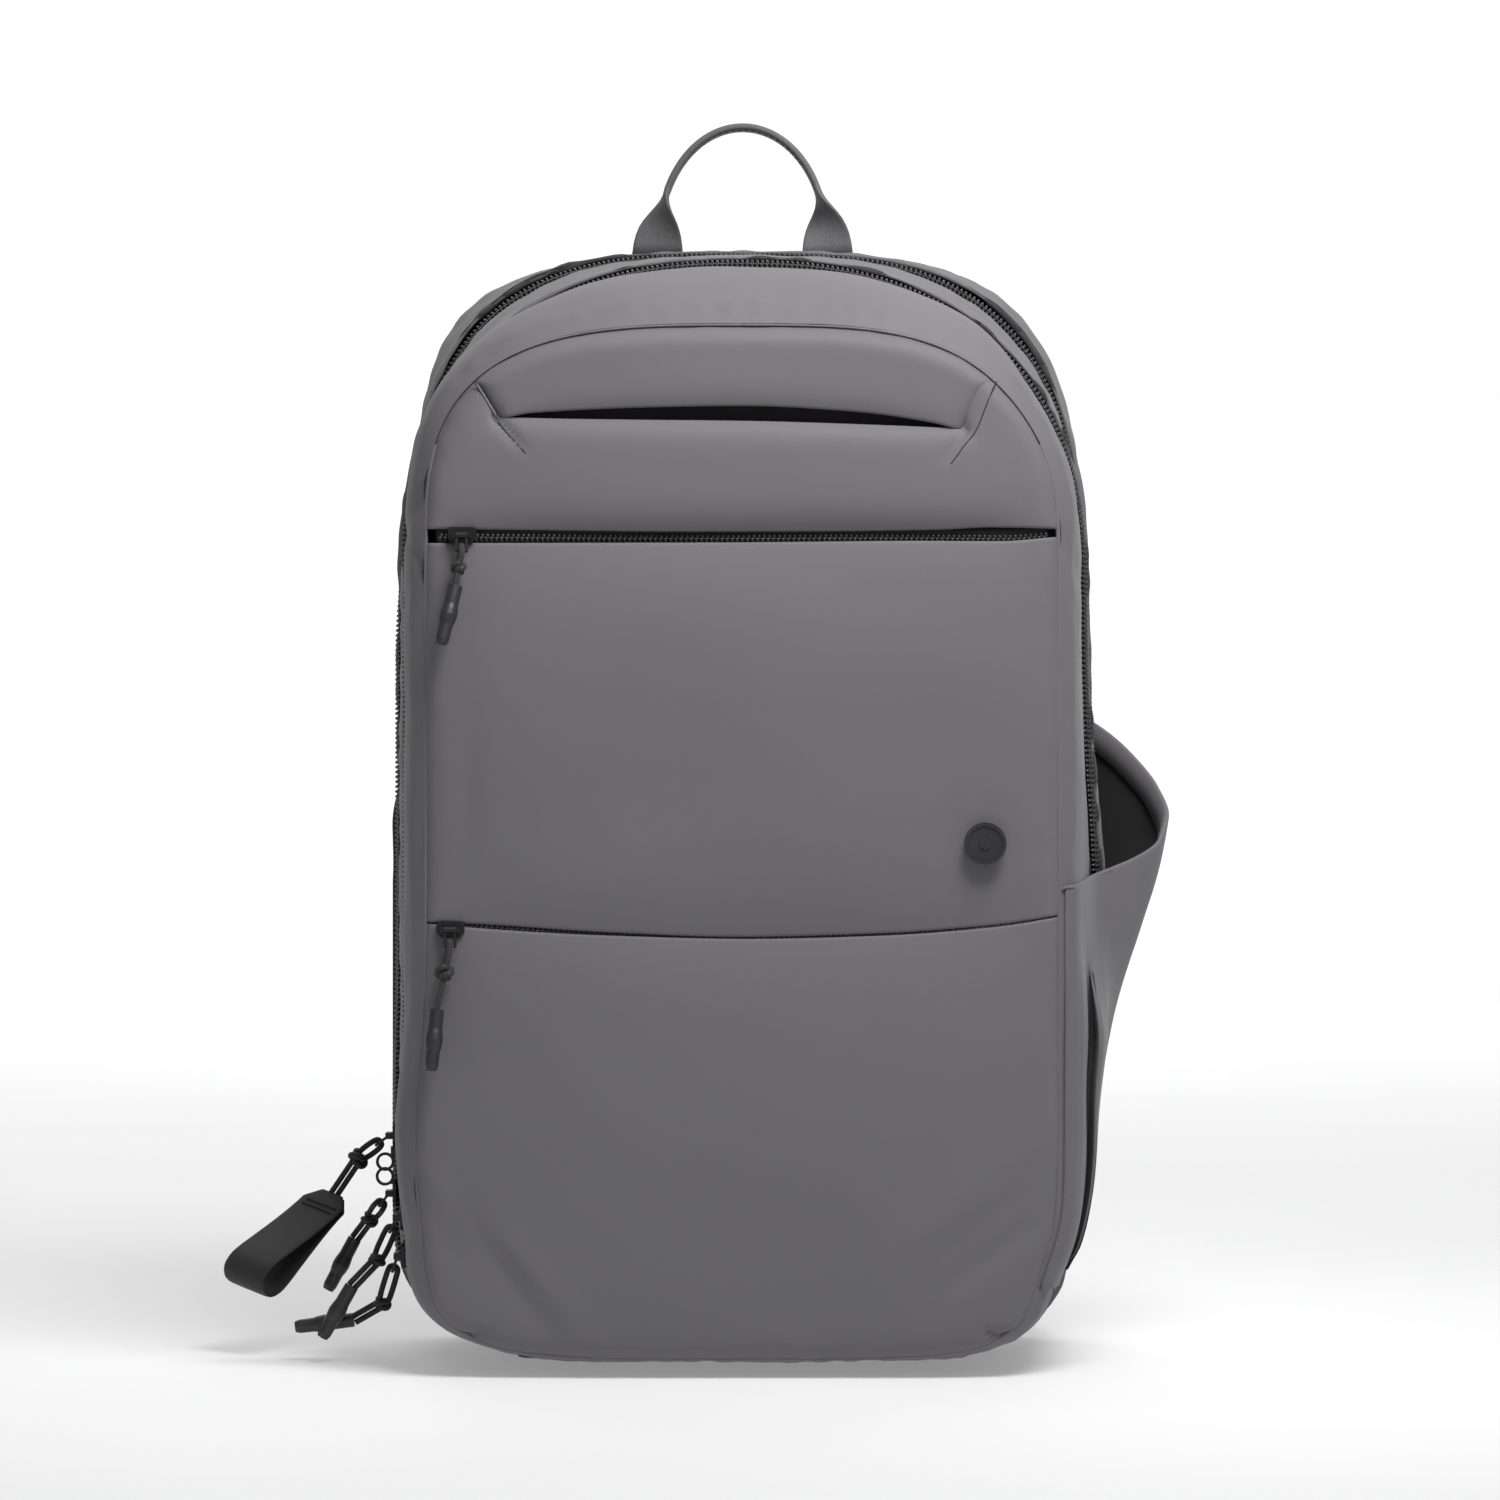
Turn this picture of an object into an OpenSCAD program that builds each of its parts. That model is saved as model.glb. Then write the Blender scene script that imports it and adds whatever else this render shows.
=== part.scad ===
// Daypack: a soft two-compartment backpack whose front unzips over the top and
// folds forward, with two front pockets, a bottle pocket and a padded harness.
// Millimetres. +Z up, the front faces -Y, the origin is the middle of the base.

/* [Body] */
// Height of the body at its back
body_h = 492; // [482:1:500]
// Width across the rear compartment
body_w = 310; // [306:1:316]
// Width of the flat front face
face_w = 272; // [266:1:276]
// Height of the seam that arches over the front face
face_h = 448; // [440:1:452]
// Depth from the front face to the middle of the main zip
front_d = 60; // [58:1:64]
// Depth from the main zip to the rear zip
middle_d = 53; // [50:1:56]
// Depth from the rear zip to the back wall
rear_d = 59; // [56:1:64]
// Thickness of the lined fabric walls
wall = 3; // [2.5:0.5:4]

/* [Front pockets] */
// Height of the upper pocket's zip
upper_zip_z = 358; // [350:1:365]
// Height of the lower pocket's zip
lower_zip_z = 189; // [180:1:196]
// Height of the welt pocket's slit
slit_z = 408; // [402:1:412]
// How far the pocket panels stand proud of the front face
pocket_crown = 8; // [6:1:9]
// Diameter of the round badge
badge_d = 18; // [14:1:22]

/* [Side pockets] */
// How far the open bottle pocket stands out from the side
pocket_bulge = 37; // [30:1:40]
// Height of the pocket mouths at the front
mouth_front_z = 207; // [200:1:215]
// Height of the pocket mouths at the back
mouth_back_z = 280; // [270:1:285]

/* [Zip pullers] */
// Diameter of the puller cords
cord_d = 2.6; // [2.2:0.1:2.8]
// Length of the moulded cord ends
tip_l = 26; // [22:1:30]
// Width of the webbing puller
loop_w = 26; // [20:1:28]

/* [Harness] */
// Thickness of the shoulder straps
strap_t = 10; // [8:1:12]
// Width of the shoulder straps
strap_w = 62; // [54:1:66]
// Width of the strap webbing
webbing_w = 20; // [15:1:22]
// Height of the grab handle over the body
handle_h = 61; // [50:1:64]

/* [Hidden] */

fabric = "#6e6c70";
lining = "#1d1c1f";
black = "#161517";
gap = 0.3;              // clearance between neighbouring soft parts

// Depth stations
main_zip_y = -28;
face_y = main_zip_y - front_d;
rear_zip_y = main_zip_y + middle_d;
back_y = rear_zip_y + rear_d;
zip_half = 3.4;         // half of a zip's visible width

// The body's outline at any depth: half width, top, bottom, and the shoulder's
// centre height and roundness, each read off a table over y
half_w_at = [[face_y, face_w / 2], [face_y + 8, face_w / 2 + 7], [face_y + 28, body_w / 2 - 8],
    [main_zip_y, body_w / 2 - 7], [rear_zip_y, body_w / 2], [back_y - 24, body_w / 2],
    [back_y - 8, body_w / 2 - 5], [back_y, body_w / 2 - 13]];
top_at = [[face_y, face_h], [face_y + 8, face_h + 11], [face_y + 28, body_h - 20],
    [main_zip_y, body_h - 11], [rear_zip_y, body_h - 3], [back_y - 24, body_h],
    [back_y - 8, body_h - 3], [back_y, body_h - 10]];
base_z = 2.4;           // the shells stand on the base panel
low_at = [[face_y, 4], [face_y + 8, base_z], [back_y - 24, base_z],
    [back_y - 8, 4], [back_y, 10]];
shoulder_at = [[face_y, 350], [main_zip_y, 337], [rear_zip_y, 290], [back_y, 290]];
round_at = [[face_y, 3.2], [main_zip_y, 2.4], [rear_zip_y, 3.2], [back_y - 24, 4.2], [back_y, 4.2]];
corner_z = 80;          // the bottom corners start at this height
zip_end_z = 34;         // both long zips end at this height
fold_low = 240;         // the front folds between these two heights
fold_high = 300;
corner_round = 4.8;
quarter_n = 10;         // points in a quarter of an outline

// A quarter of a superellipse with half axes a and b, from [a, 0] to [0, b]
function quarter(a, b, p) =
    [for (i = [0:quarter_n]) let (t = 90 * i / quarter_n) [a * pow(cos(t), 2 / p), b * pow(sin(t), 2 / p)]];

// The body's outline at depth y, drawn in by inset, anticlockwise seen from the front
function outline(y, inset = 0) = let (
    a = lookup(y, half_w_at) - inset,
    s = lookup(y, shoulder_at),
    up = quarter(a, lookup(y, top_at) - inset - s, lookup(y, round_at)),
    down = quarter(a, corner_z - lookup(y, low_at) - inset, corner_round))
    concat(
        [for (i = [0:quarter_n]) [up[i].x, y, s + up[i].y]],
        [for (i = [quarter_n - 1:-1:0]) [-up[i].x, y, s + up[i].y]],
        [for (i = [0:quarter_n]) [-down[i].x, y, corner_z - down[i].y]],
        [for (i = [quarter_n - 1:-1:0]) [down[i].x, y, corner_z - down[i].y]]);

// How far the side stands from the middle at depth y and height z
function side_x(y, z) = let (
    drop = max(0, corner_z - z) / (corner_z - lookup(y, low_at)))
    lookup(y, half_w_at) * pow(1 - pow(drop, corner_round), 1 / corner_round);

// A solid whose surface runs through the rings in turn. It is capped at its first
// and last ring, or with loop the last ring joins the first.
module skin(rings, loop = false) {
    n = len(rings[0]);
    m = len(rings);
    steps = loop ? m : m - 1;
    quads = [for (i = [0:steps - 1], j = [0:n - 1]) let (
        k = (i + 1) % m, a = i * n + j, b = i * n + (j + 1) % n, c = k * n + (j + 1) % n, d = k * n + j)
        each [[a, b, c], [a, c, d]]];
    caps = loop ? [] : [[for (j = [n - 1:-1:0]) j], [for (j = [0:n - 1]) (m - 1) * n + j]];
    polyhedron([for (r = rings) each r], concat(quads, caps));
}

// A closed slab between two grids of points. The outer grid's rows and columns turn
// by the right hand towards the outside.
module slab(outer, inner) {
    m = len(outer) - 1;
    n = len(outer[0]) - 1;
    base = (m + 1) * (n + 1);
    function at(i, j) = i * (n + 1) + j;
    function two(a, b, c, d) = [[a, b, c], [a, c, d]];
    faces = concat(
        [for (i = [0:m - 1], j = [0:n - 1]) each two(at(i, j), at(i, j + 1), at(i + 1, j + 1), at(i + 1, j))],
        [for (i = [0:m - 1], j = [0:n - 1])
            each two(base + at(i, j), base + at(i + 1, j), base + at(i + 1, j + 1), base + at(i, j + 1))],
        [for (i = [0:m - 1]) each two(at(i, 0), at(i + 1, 0), base + at(i + 1, 0), base + at(i, 0))],
        [for (i = [0:m - 1]) each two(at(i + 1, n), at(i, n), base + at(i, n), base + at(i + 1, n))],
        [for (j = [0:n - 1]) each two(at(0, j + 1), at(0, j), base + at(0, j), base + at(0, j + 1))],
        [for (j = [0:n - 1]) each two(at(m, j), at(m, j + 1), base + at(m, j + 1), base + at(m, j))]);
    polyhedron(concat([for (r = outer) each r], [for (r = inner) each r]), faces);
}

function unit(v) = v / norm(v);

// A point on the curve through a list of points, k of the way from one to the next
function curve_at(p, i, k) = let (
    a = p[max(i - 1, 0)], b = p[i], c = p[i + 1], d = p[min(i + 2, len(p) - 1)])
    0.5 * (2 * b + (c - a) * k + (2 * a - 5 * b + 4 * c - d) * k * k + (3 * b - a - 3 * c + d) * k * k * k);
function smooth(p, steps) = concat(
    [for (i = [0:len(p) - 2], s = [0:steps - 1]) curve_at(p, i, s / steps)], [p[len(p) - 1]]);

// A round tube of diameter d along a line. Its rings turn as little as they can
// round the direction flat, which the line never runs along.
module tube(line, d, flat, sides = 8) {
    n = len(line) - 1;
    rings = [for (i = [0:n]) let (
        t = unit(line[min(i + 1, n)] - line[max(i - 1, 0)]),
        u = unit(flat - (flat * t) * t),
        v = cross(t, u))
        [for (s = [0:sides - 1]) line[i] + d / 2 * (cos(360 * s / sides) * v + sin(360 * s / sides) * u)]];
    skin(rings);
}

// ---- Pack body ----

module rear_shell() {
    steps = [rear_zip_y + zip_half + gap, back_y - 24, back_y - 8, back_y];
    inner = [back_y - wall, back_y - 12, back_y - 24, steps[0]];
    color(fabric) skin(concat([for (y = inner) outline(y, wall)], [for (y = steps) outline(y)]));
}

// An open band of wall between two depths
module band(y0, y1, inset, thickness) {
    deep = inset + thickness;
    skin([outline(y0, inset), outline(y1, inset), outline(y1, deep), outline(y0, deep)], loop = true);
}

// The part of something that lies between two heights
module between(z0, z1) {
    intersection() {
        union() children();
        translate([-300, -300, z0]) cube([600, 600, z1 - z0]);
    }
}

module mid_gusset() color(fabric) band(main_zip_y + zip_half + gap, rear_zip_y - zip_half - gap, 0, wall);
module rear_zip() {
    color(black) between(zip_end_z, 600) band(rear_zip_y - zip_half, rear_zip_y + zip_half, 0.6, 1.8);
}

// The main zip: both its sides up to the fold, and the side that stays above it
module main_zip() color(black) {
    between(zip_end_z, fold_low) band(main_zip_y - zip_half, main_zip_y + zip_half, 0.6, 1.8);
    between(fold_low, 600) band(main_zip_y + gap / 2, main_zip_y + zip_half, 0.6, 1.8);
}

// The main zip's side that folds forward with the flap
module main_zip_flap_tape() {
    color(black) between(fold_high, 600) band(main_zip_y - zip_half, main_zip_y - gap / 2, 0.6, 1.8);
}

base_w = 200;
base_y0 = -50;
base_y1 = 62;
base_r = 12;

module base_panel() {
    color(fabric) linear_extrude(base_z - gap) union() {
        translate([-base_w / 2 + base_r, base_y0]) square([base_w - 2 * base_r, base_y1 - base_y0]);
        translate([-base_w / 2, base_y0 + base_r]) square([base_w, base_y1 - base_y0 - 2 * base_r]);
        for (x = [-1, 1], y = [base_y0 + base_r, base_y1 - base_r])
            translate([x * (base_w / 2 - base_r), y]) circle(base_r, $fn = 48);
    }
}

divider_y = 10;
divider_t = 8;

module divider() color(lining) skin([outline(divider_y, wall + 1), outline(divider_y + divider_t, wall + 1)]);

sheet_y = back_y - wall - 3;
sheet_inset = 16;

module frame_sheet() color("#2a2a2c") skin([outline(sheet_y, sheet_inset), outline(sheet_y + 2, sheet_inset)]);

// A grid of points over a side pocket, side being 1 for the right. Rows run from the
// front seam to the back seam and columns from the bottom to the slanted mouth.
pocket_low_z = 34;
pocket_share = [0, 0.06, 0.12, 0.2, 0.3, 0.45, 0.6, 0.73, 0.86, 1];
function pocket_lift(z) = z < 88 ? 0.9 : 0.35;
function mouth_z(t) = mouth_front_z + (mouth_back_z - mouth_front_z) * pow(t, 2.1);
function pocket_grid(side, at, bulge, out) =
    [for (y = at) let (t = (y - at[0]) / (at[len(at) - 1] - at[0]))
        [for (s = pocket_share) let (
            z = pocket_low_z + (mouth_z(t) - pocket_low_z) * s,
            hang = pow(s, 1.7) * pow(sin(180 * pow(t, 1.5)), 1.3))
            [side * (side_x(y, z) + pocket_lift(z) + out + bulge * hang), y, z]]];

// The depths of their rows, with the body's own depth stations among them
back_rows = [back_y - 24, back_y - 15, back_y - 8, back_y - 4];
bottle_rows = concat([face_y + 6, face_y + 8, face_y + 18, face_y + 28, main_zip_y - 16, main_zip_y,
    main_zip_y + 16, rear_zip_y - 21, rear_zip_y - 10, rear_zip_y, rear_zip_y + 12, rear_zip_y + 24], back_rows);
flat_rows = concat([back_y - 42, back_y - 33], back_rows);
bottle_wall = 2.2;

module bottle_pocket() {
    color(fabric) slab(pocket_grid(1, bottle_rows, pocket_bulge, bottle_wall),
        pocket_grid(1, bottle_rows, pocket_bulge, 0));
}

module flat_pocket() {
    color(fabric) mirror([1, 0, 0]) slab(pocket_grid(1, flat_rows, 2, bottle_wall),
        pocket_grid(1, flat_rows, 1, 0));
}

pad_t = 11;

// A crowned pad on the back wall, centred on x, between two heights
module pad(x, w, z0, z1) {
    rows = 6;
    columns = 8;
    function grid(high) = [for (j = [0:columns]) let (z = z0 + (z1 - z0) * j / columns)
        [for (i = [0:rows]) let (
            u = 2 * i / rows - 1, v = 2 * j / columns - 1,
            crown = (1 - pow(abs(u), 4)) * (1 - pow(abs(v), 6)))
            [x + w / 2 * u, back_y + gap + high * (3 + (pad_t - 3) * crown), z]]];
    color("#2b2b2e") slab(grid(1), grid(0));
}

pad_w = 96;
pad_x = 58;

module back_pads() {
    pad(-pad_x, pad_w, 150, 425);
    pad(pad_x, pad_w, 150, 425);
}

module lumbar_pad() pad(0, 2 * pad_x + pad_w, 52, 142);

wing_x = 128;
wing_z = 50;

// The two triangular tabs that hold the lower ends of the strap webbing
module strap_anchor_wings() {
    color(fabric) for (side = [-1, 1]) translate([side * wing_x, back_y + gap + 2, wing_z]) rotate([90, 0, 0])
        linear_extrude(2) scale([side, 1]) polygon([[10, -26], [10, 16], [-12, 12], [-16, -4]]);
}

// ---- Front panel ----

module front_skin() {
    edge = main_zip_y - zip_half - gap;
    steps = [face_y, face_y + 8, face_y + 28, edge];
    inner = [edge, face_y + 28, face_y + 9, face_y + wall];
    skin(concat([for (y = steps) outline(y)], [for (y = inner) outline(y, wall)]));
}

module front_tub() color(fabric) between(0, fold_low - gap) front_skin();
module front_shell() color(fabric) between(fold_high + gap, 600) front_skin();

panel_w = face_w - 6;
panel_rows = 14;

// The height of the front face's edge at x, over or under its middle
function arch_z(x) = let (s = lookup(face_y, shoulder_at), p = lookup(face_y, round_at))
    s + (face_h - 2 - s) * pow(1 - pow(min(1, abs(x) / (face_w / 2 - 1)), p), 1 / p);
function foot_z(x) = corner_z - (corner_z - lookup(face_y, low_at) - 3)
    * pow(1 - pow(min(1, abs(x) / (face_w / 2 - 1)), corner_round), 1 / corner_round);

// A crowned panel on the front face, with low and high the heights of its edges at
// each x. Its crown fades out towards every edge.
module front_panel_slab(low, high, w, crown) {
    columns = 8;
    rows = len(low) - 1;
    function grid(out) = [for (i = [0:rows]) let (u = 2 * i / rows - 1)
        [for (j = [0:columns]) let (
            v = 2 * j / columns - 1,
            rise = 2 + (crown - 2) * (1 - pow(abs(u), 4)) * (1 - pow(abs(v), 4)))
            [w / 2 * u, face_y - gap - out * rise, low[i] + (high[i] - low[i]) * (v + 1) / 2]]];
    slab(grid(1), grid(0));
}

function panel_x(i, w) = w / 2 * (2 * i / panel_rows - 1);
function level(z) = [for (i = [0:panel_rows]) z];

zip_gap = 3.6;          // half the height of the slot that a pocket zip lies in
hood_w = 208;

module hood_panel() {
    top = [for (i = [0:panel_rows]) arch_z(panel_x(i, hood_w)) - 1];
    color(fabric) front_panel_slab(level(slit_z + 2.5), top, hood_w, 6);
}

module welt_panel() {
    foot = level(upper_zip_z + zip_gap);
    color(fabric) front_panel_slab(foot, level(slit_z - 2.5), panel_w - 14, pocket_crown);
}

module upper_pocket_skin() {
    front_panel_slab(level(lower_zip_z + zip_gap), level(upper_zip_z - zip_gap), panel_w, pocket_crown);
}

module upper_pocket() color(fabric) between(fold_high + gap, 600) upper_pocket_skin();
module upper_pocket_base() color(fabric) between(0, fold_low - gap) upper_pocket_skin();

// The soft zone that bends as the flap folds forward
module front_fold() {
    color(fabric) between(fold_low, fold_high) {
        front_skin();
        upper_pocket_skin();
    }
}

module lower_pocket() {
    foot = [for (i = [0:panel_rows]) foot_z(panel_x(i, panel_w))];
    color(fabric) front_panel_slab(foot, level(lower_zip_z - zip_gap), panel_w, pocket_crown);
}

pocket_zip_w = panel_w - 4;
pocket_zip_t = 1.6;

// The tape and coil of a front pocket's zip, in the slot between two panels
module pocket_zip(z) {
    color(black) translate([-pocket_zip_w / 2, face_y - gap - pocket_zip_t, z - zip_gap + gap])
        cube([pocket_zip_w, pocket_zip_t, 2 * (zip_gap - gap)]);
}

module upper_pocket_zip() pocket_zip(upper_zip_z);
module lower_pocket_zip() pocket_zip(lower_zip_z);

badge_x = 104;
badge_z = 226;
badge_t = 2.4;

module badge() {
    color("#232225") translate([badge_x, face_y - gap - pocket_crown - 0.2, badge_z]) rotate([90, 0, 0]) {
        difference() {
            cylinder(d = badge_d, h = badge_t, $fn = 64);
            translate([0, 0, badge_t - 0.7]) cylinder(d = badge_d - 3, h = 1, $fn = 64);
        }
        translate([0, 0, badge_t - 0.9]) cylinder(d = 5, h = 0.9, $fn = 48);
    }
}

// ---- Grab handle ----

handle_y = 62;
handle_foot_x = 39;
handle_foot_z = body_h + gap;
handle_steps = 28;

// A strip of webbing that stands flat on its sewn feet and is folded in half, edge
// on, along the grip
module grab_handle() {
    rise = handle_h - 2;
    rings = [for (i = [0:handle_steps]) let (
        a = 180 * i / handle_steps,
        p = [-handle_foot_x * cos(a) * (1 - 0.08 * sin(a)), handle_y, handle_foot_z + rise * pow(sin(a), 0.75)],
        near = max(0, 1 - sin(a) * 2.4),
        w = 13 + 10 * near,
        t = 3.4 - 1.2 * near,
        turn = 90 * near * near * (3 - 2 * near),
        along = unit([handle_foot_x * sin(a), 0, rise * 0.75 * cos(a) + 0.01]),
        out = [-along.z, 0, along.x],
        side = cos(turn) * [0, 1, 0] + sin(turn) * (i < handle_steps / 2 ? out : -out),
        thick = cross(side, along))
        [p - side * w / 2 - thick * t / 2, p - side * w / 2 + thick * t / 2,
            p + side * w / 2 + thick * t / 2, p + side * w / 2 - thick * t / 2]];
    color("#4c4b4e") intersection() {
        skin(rings);
        translate([-100, 0, handle_foot_z]) cube([200, 150, 100]);
    }
}

// ---- Harness ----

// The right strap's middle line over the back: [x, y of its inner face, z]
strap_line = [[42, back_y + 3, 456], [46, back_y + 17, 425], [53, back_y + 25, 380], [62, back_y + 29, 320],
    [74, back_y + 28, 250], [86, back_y + 22, 178]];
strap_steps = 4;

module shoulder_strap() {
    line = smooth(strap_line, strap_steps);
    n = len(line) - 1;
    columns = 4;
    function grid(out) = [for (i = [n:-1:0]) let (
        t = unit(line[min(i + 1, n)] - line[max(i - 1, 0)]),
        normal = unit(cross([1, 0, 0], t)),
        k = i / n,
        w = strap_w * (1 - 0.35 * pow(k, 3)))
        [for (j = [0:columns]) let (u = 2 * j / columns - 1)
            line[i] + [w / 2 * u, 0, 0] + normal * out * (4 + (strap_t - 4) * (1 - pow(abs(u), 3)))]];
    color(fabric) slab(grid(1), grid(0));
}

module shoulder_strap_left() mirror([1, 0, 0]) shoulder_strap();
module shoulder_strap_right() shoulder_strap();

lock_w = 32;
lock_h = 24;
lock_t = 5;
lock_at = [88, back_y + 23, 163];

// A plastic ladder lock: a frame with three bars across it
module ladder_lock(side) {
    slot = webbing_w + 3;
    color(black) translate([side * lock_at.x, lock_at.y, lock_at.z]) difference() {
        translate([-lock_w / 2, 0, -lock_h / 2]) cube([lock_w, lock_t, lock_h]);
        for (z = [-8.6, 1.6]) translate([-slot / 2, -1, z]) cube([slot, lock_t + 2, 6.4]);
    }
}

module ladder_locks() {
    ladder_lock(-1);
    ladder_lock(1);
}

// The right lower webbing's line, from under the ladder lock to the anchor wing
webbing_line = [[90, back_y + 26, 147.8], [97, back_y + 27, 120], [108, back_y + 20, 88], [120, back_y + 8, 64],
    [122, back_y + 4.2, 56]];
webbing_t = 1.5;

module strap_webbing() {
    line = smooth(webbing_line, 3);
    n = len(line) - 1;
    function grid(out) = [for (i = [n:-1:0]) [for (j = [-1, 1])
        line[i] + [webbing_w / 2 * j, out * webbing_t, -2.5 * j]]];
    color(black) slab(grid(1), grid(0));
}

module strap_webbings() {
    strap_webbing();
    mirror([1, 0, 0]) strap_webbing();
}

rail_x = 61;
rail_y = back_y + 42;
rail_z = 338;
rail_l = 84;
rail_w = 10;
rail_t = 1.4;

module sternum_rails() {
    color(black) for (side = [-1, 1]) translate([side * rail_x - rail_w / 2, rail_y, rail_z - rail_l / 2])
        cube([rail_w, rail_t, rail_l]);
}

clip_w = 16;
clip_h = 22;
clip_t = 4.2;
clip_slack = 0.35;      // clearance of a clip round its rail

module sternum_clips() {
    color(black) for (side = [-1, 1]) translate([side * rail_x, rail_y + rail_t / 2, rail_z]) difference() {
        cube([clip_w, clip_t + 0.4, clip_h], center = true);
        cube([rail_w + 2 * clip_slack, rail_t + 2 * clip_slack, clip_h + 2], center = true);
    }
}

sternum_y = rail_y + rail_t / 2;
socket_x0 = -22;
socket_x1 = 8;
buckle_h = 25;
buckle_t = 8;
plug_x1 = 22;
plug_clear = 0.4;

// Webbing between a clip and the buckle, from x0 to x1
module sternum_strip(x0, x1) {
    color(black) translate([x0, sternum_y - webbing_t / 2, rail_z - webbing_w / 2])
        cube([x1 - x0, webbing_t, webbing_w]);
}

module sternum_webbing_left() sternum_strip(-rail_x + clip_w / 2 + gap, socket_x0 - gap);
module sternum_webbing_right() sternum_strip(plug_x1 + gap, rail_x - clip_w / 2 - gap);

prong_h = 4;
prong_l = 20;
prong_z = 6.5;
prong_t = 3.6;

// A box centred on the buckle's line, from x0 to x1
module buckle_block(x0, x1, t, h, z = 0) {
    translate([x0, sternum_y - t / 2, rail_z + z - h / 2]) cube([x1 - x0, t, h]);
}

module sternum_socket() {
    color(black) difference() {
        buckle_block(socket_x0, socket_x1, buckle_t, buckle_h);
        buckle_block(socket_x0 + 7, socket_x1 + 1, prong_t + 2 * plug_clear,
            2 * prong_z + prong_h + 2 * plug_clear);
        for (z = [-1, 1]) buckle_block(socket_x0 + 9, socket_x0 + 19, prong_t, 8, z * buckle_h / 2);
    }
}

module sternum_plug() {
    color(black) {
        buckle_block(socket_x1 + gap, plug_x1, buckle_t - 1, buckle_h);
        for (z = [-prong_z, 0, prong_z])
            buckle_block(socket_x1 + gap - prong_l, socket_x1 + gap + 1, prong_t, prong_h, z);
    }
}

// ---- Zip sliders and their pullers ----

// Each slider and puller is drawn with its pivot at the origin: the tape lies at
// x = tape_x facing -X, the pivot pin runs along Y, and the puller hangs along -Z.
tape_x = 4.2;
plate_t = 1.6;
plate_x = tape_x - 0.8 - plate_t;
slider_l = 11;
slider_w = 8.6;
post_w = 1.2;
post_y = 3;
pin_r = 0.85;
eye_r = 1.5;
bore_r = 0.93;
link_w = 5.4;
bar_z = -7;
bar_r = 0.7;
lock_eye_r = 2.9;
lock_eye_rim = 1.3;
lock_eye_t = 1.4;
lock_eye_x = -1.5;

// A zip slider. along_pin lays its length along the pin, as on a level zip.
module slider(along_pin) {
    l = along_pin ? slider_l + 1 : slider_w;
    h = along_pin ? slider_w - 1.6 : slider_l;
    cut = 2.2;
    color(black) {
        translate([plate_x + plate_t, 0, 0]) rotate([0, -90, 0]) linear_extrude(plate_t)
            polygon([[-h / 2, -l / 2 + cut], [-h / 2 + cut, -l / 2], [h / 2 - cut / 2, -l / 2],
                [h / 2, -l / 2 + cut / 2], [h / 2, l / 2 - cut / 2], [h / 2 - cut / 2, l / 2],
                [-h / 2 + cut, l / 2], [-h / 2, l / 2 - cut]]);
        for (side = [-1, 1]) translate([-1.5, side * (post_y + post_w / 2) - post_w / 2, -1.4])
            cube([plate_x + 1.6, post_w, 2.8]);
        rotate([90, 0, 0]) cylinder(r = pin_r, h = 2 * post_y + 1, center = true, $fn = 32);
    }
}

// The padlock eye that a lockable slider carries at height z. Its stem stands on the
// slider's plate at stem_z, and its ring lies at y.
module lock_eye(z, y, stem_z) {
    color(black) {
        translate([lock_eye_x, y, z]) rotate([-90, 0, 0]) difference() {
            cylinder(r = lock_eye_r + lock_eye_rim, h = lock_eye_t, $fn = 48);
            translate([0, 0, -1]) cylinder(r = lock_eye_r, h = lock_eye_t + 2, $fn = 48);
        }
        low = min(z + (z > 0 ? -1.5 : 1.5), stem_z);
        high = max(z + (z > 0 ? -1.5 : 1.5), stem_z);
        translate([1, y, low]) cube([1.8, -y - 2.9, high - low]);
    }
}

// The wire link between the pin and the cord
module link() {
    color(black) difference() {
        union() {
            rotate([90, 0, 0]) cylinder(r = eye_r, h = link_w, center = true, $fn = 32);
            translate([0, 0, bar_z]) rotate([90, 0, 0])
                cylinder(r = bar_r, h = link_w, center = true, $fn = 24);
            for (side = [-1, 1]) translate([-0.6, side * (link_w / 2 - 0.6) - 0.6, bar_z])
                cube([1.2, 1.2, -bar_z - 1]);
        }
        rotate([90, 0, 0]) cylinder(r = bore_r, h = link_w + 2, center = true, $fn = 32);
    }
}

strand_x = cord_d / 2 + 0.15;   // the two strands lie side by side
wrap = bar_r + cord_d / 2 + 0.15;

// How each puller hangs: [swing out from the wall, distance of its knot from the
// pivot, bend out at the knot, distance of the cord's ends, bend out at the tip,
// lean along the pin, drift along the pin, lean of the tip]
upper_hang = [12, 14, 0, 22.5, 0, 9, 0, 4];
lower_hang = [10, 18, 0, 35, 0, 11, 0, -6];
rear_a_hang = [54, 17, -20, 37, 11, 0, 0, -31];
rear_b_hang = [37, 15, 0, 27, -9, 0, 9, 0];
main_a_hang = [24, 20, 20, 36, -14, 0, -7, 0];
main_b_hang = [17, 22, 43, 37, 23, 0, 2, 0];

function rot_x(p, a) = [p.x, p.y * cos(a) - p.z * sin(a), p.y * sin(a) + p.z * cos(a)];
function rot_y(p, a) = [p.x * cos(a) + p.z * sin(a), p.y, p.z * cos(a) - p.x * sin(a)];
function about(p, c, q) = p.z < c.z ? c + q : p;
function hung(p, h) = let (
    knot = [0, 0, -h[1]],
    bar = [0, 0, bar_z],
    q = about(p, knot, rot_y(p - knot, h[2])))
    about(q, bar, rot_x(q - bar, h[5]));

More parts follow.
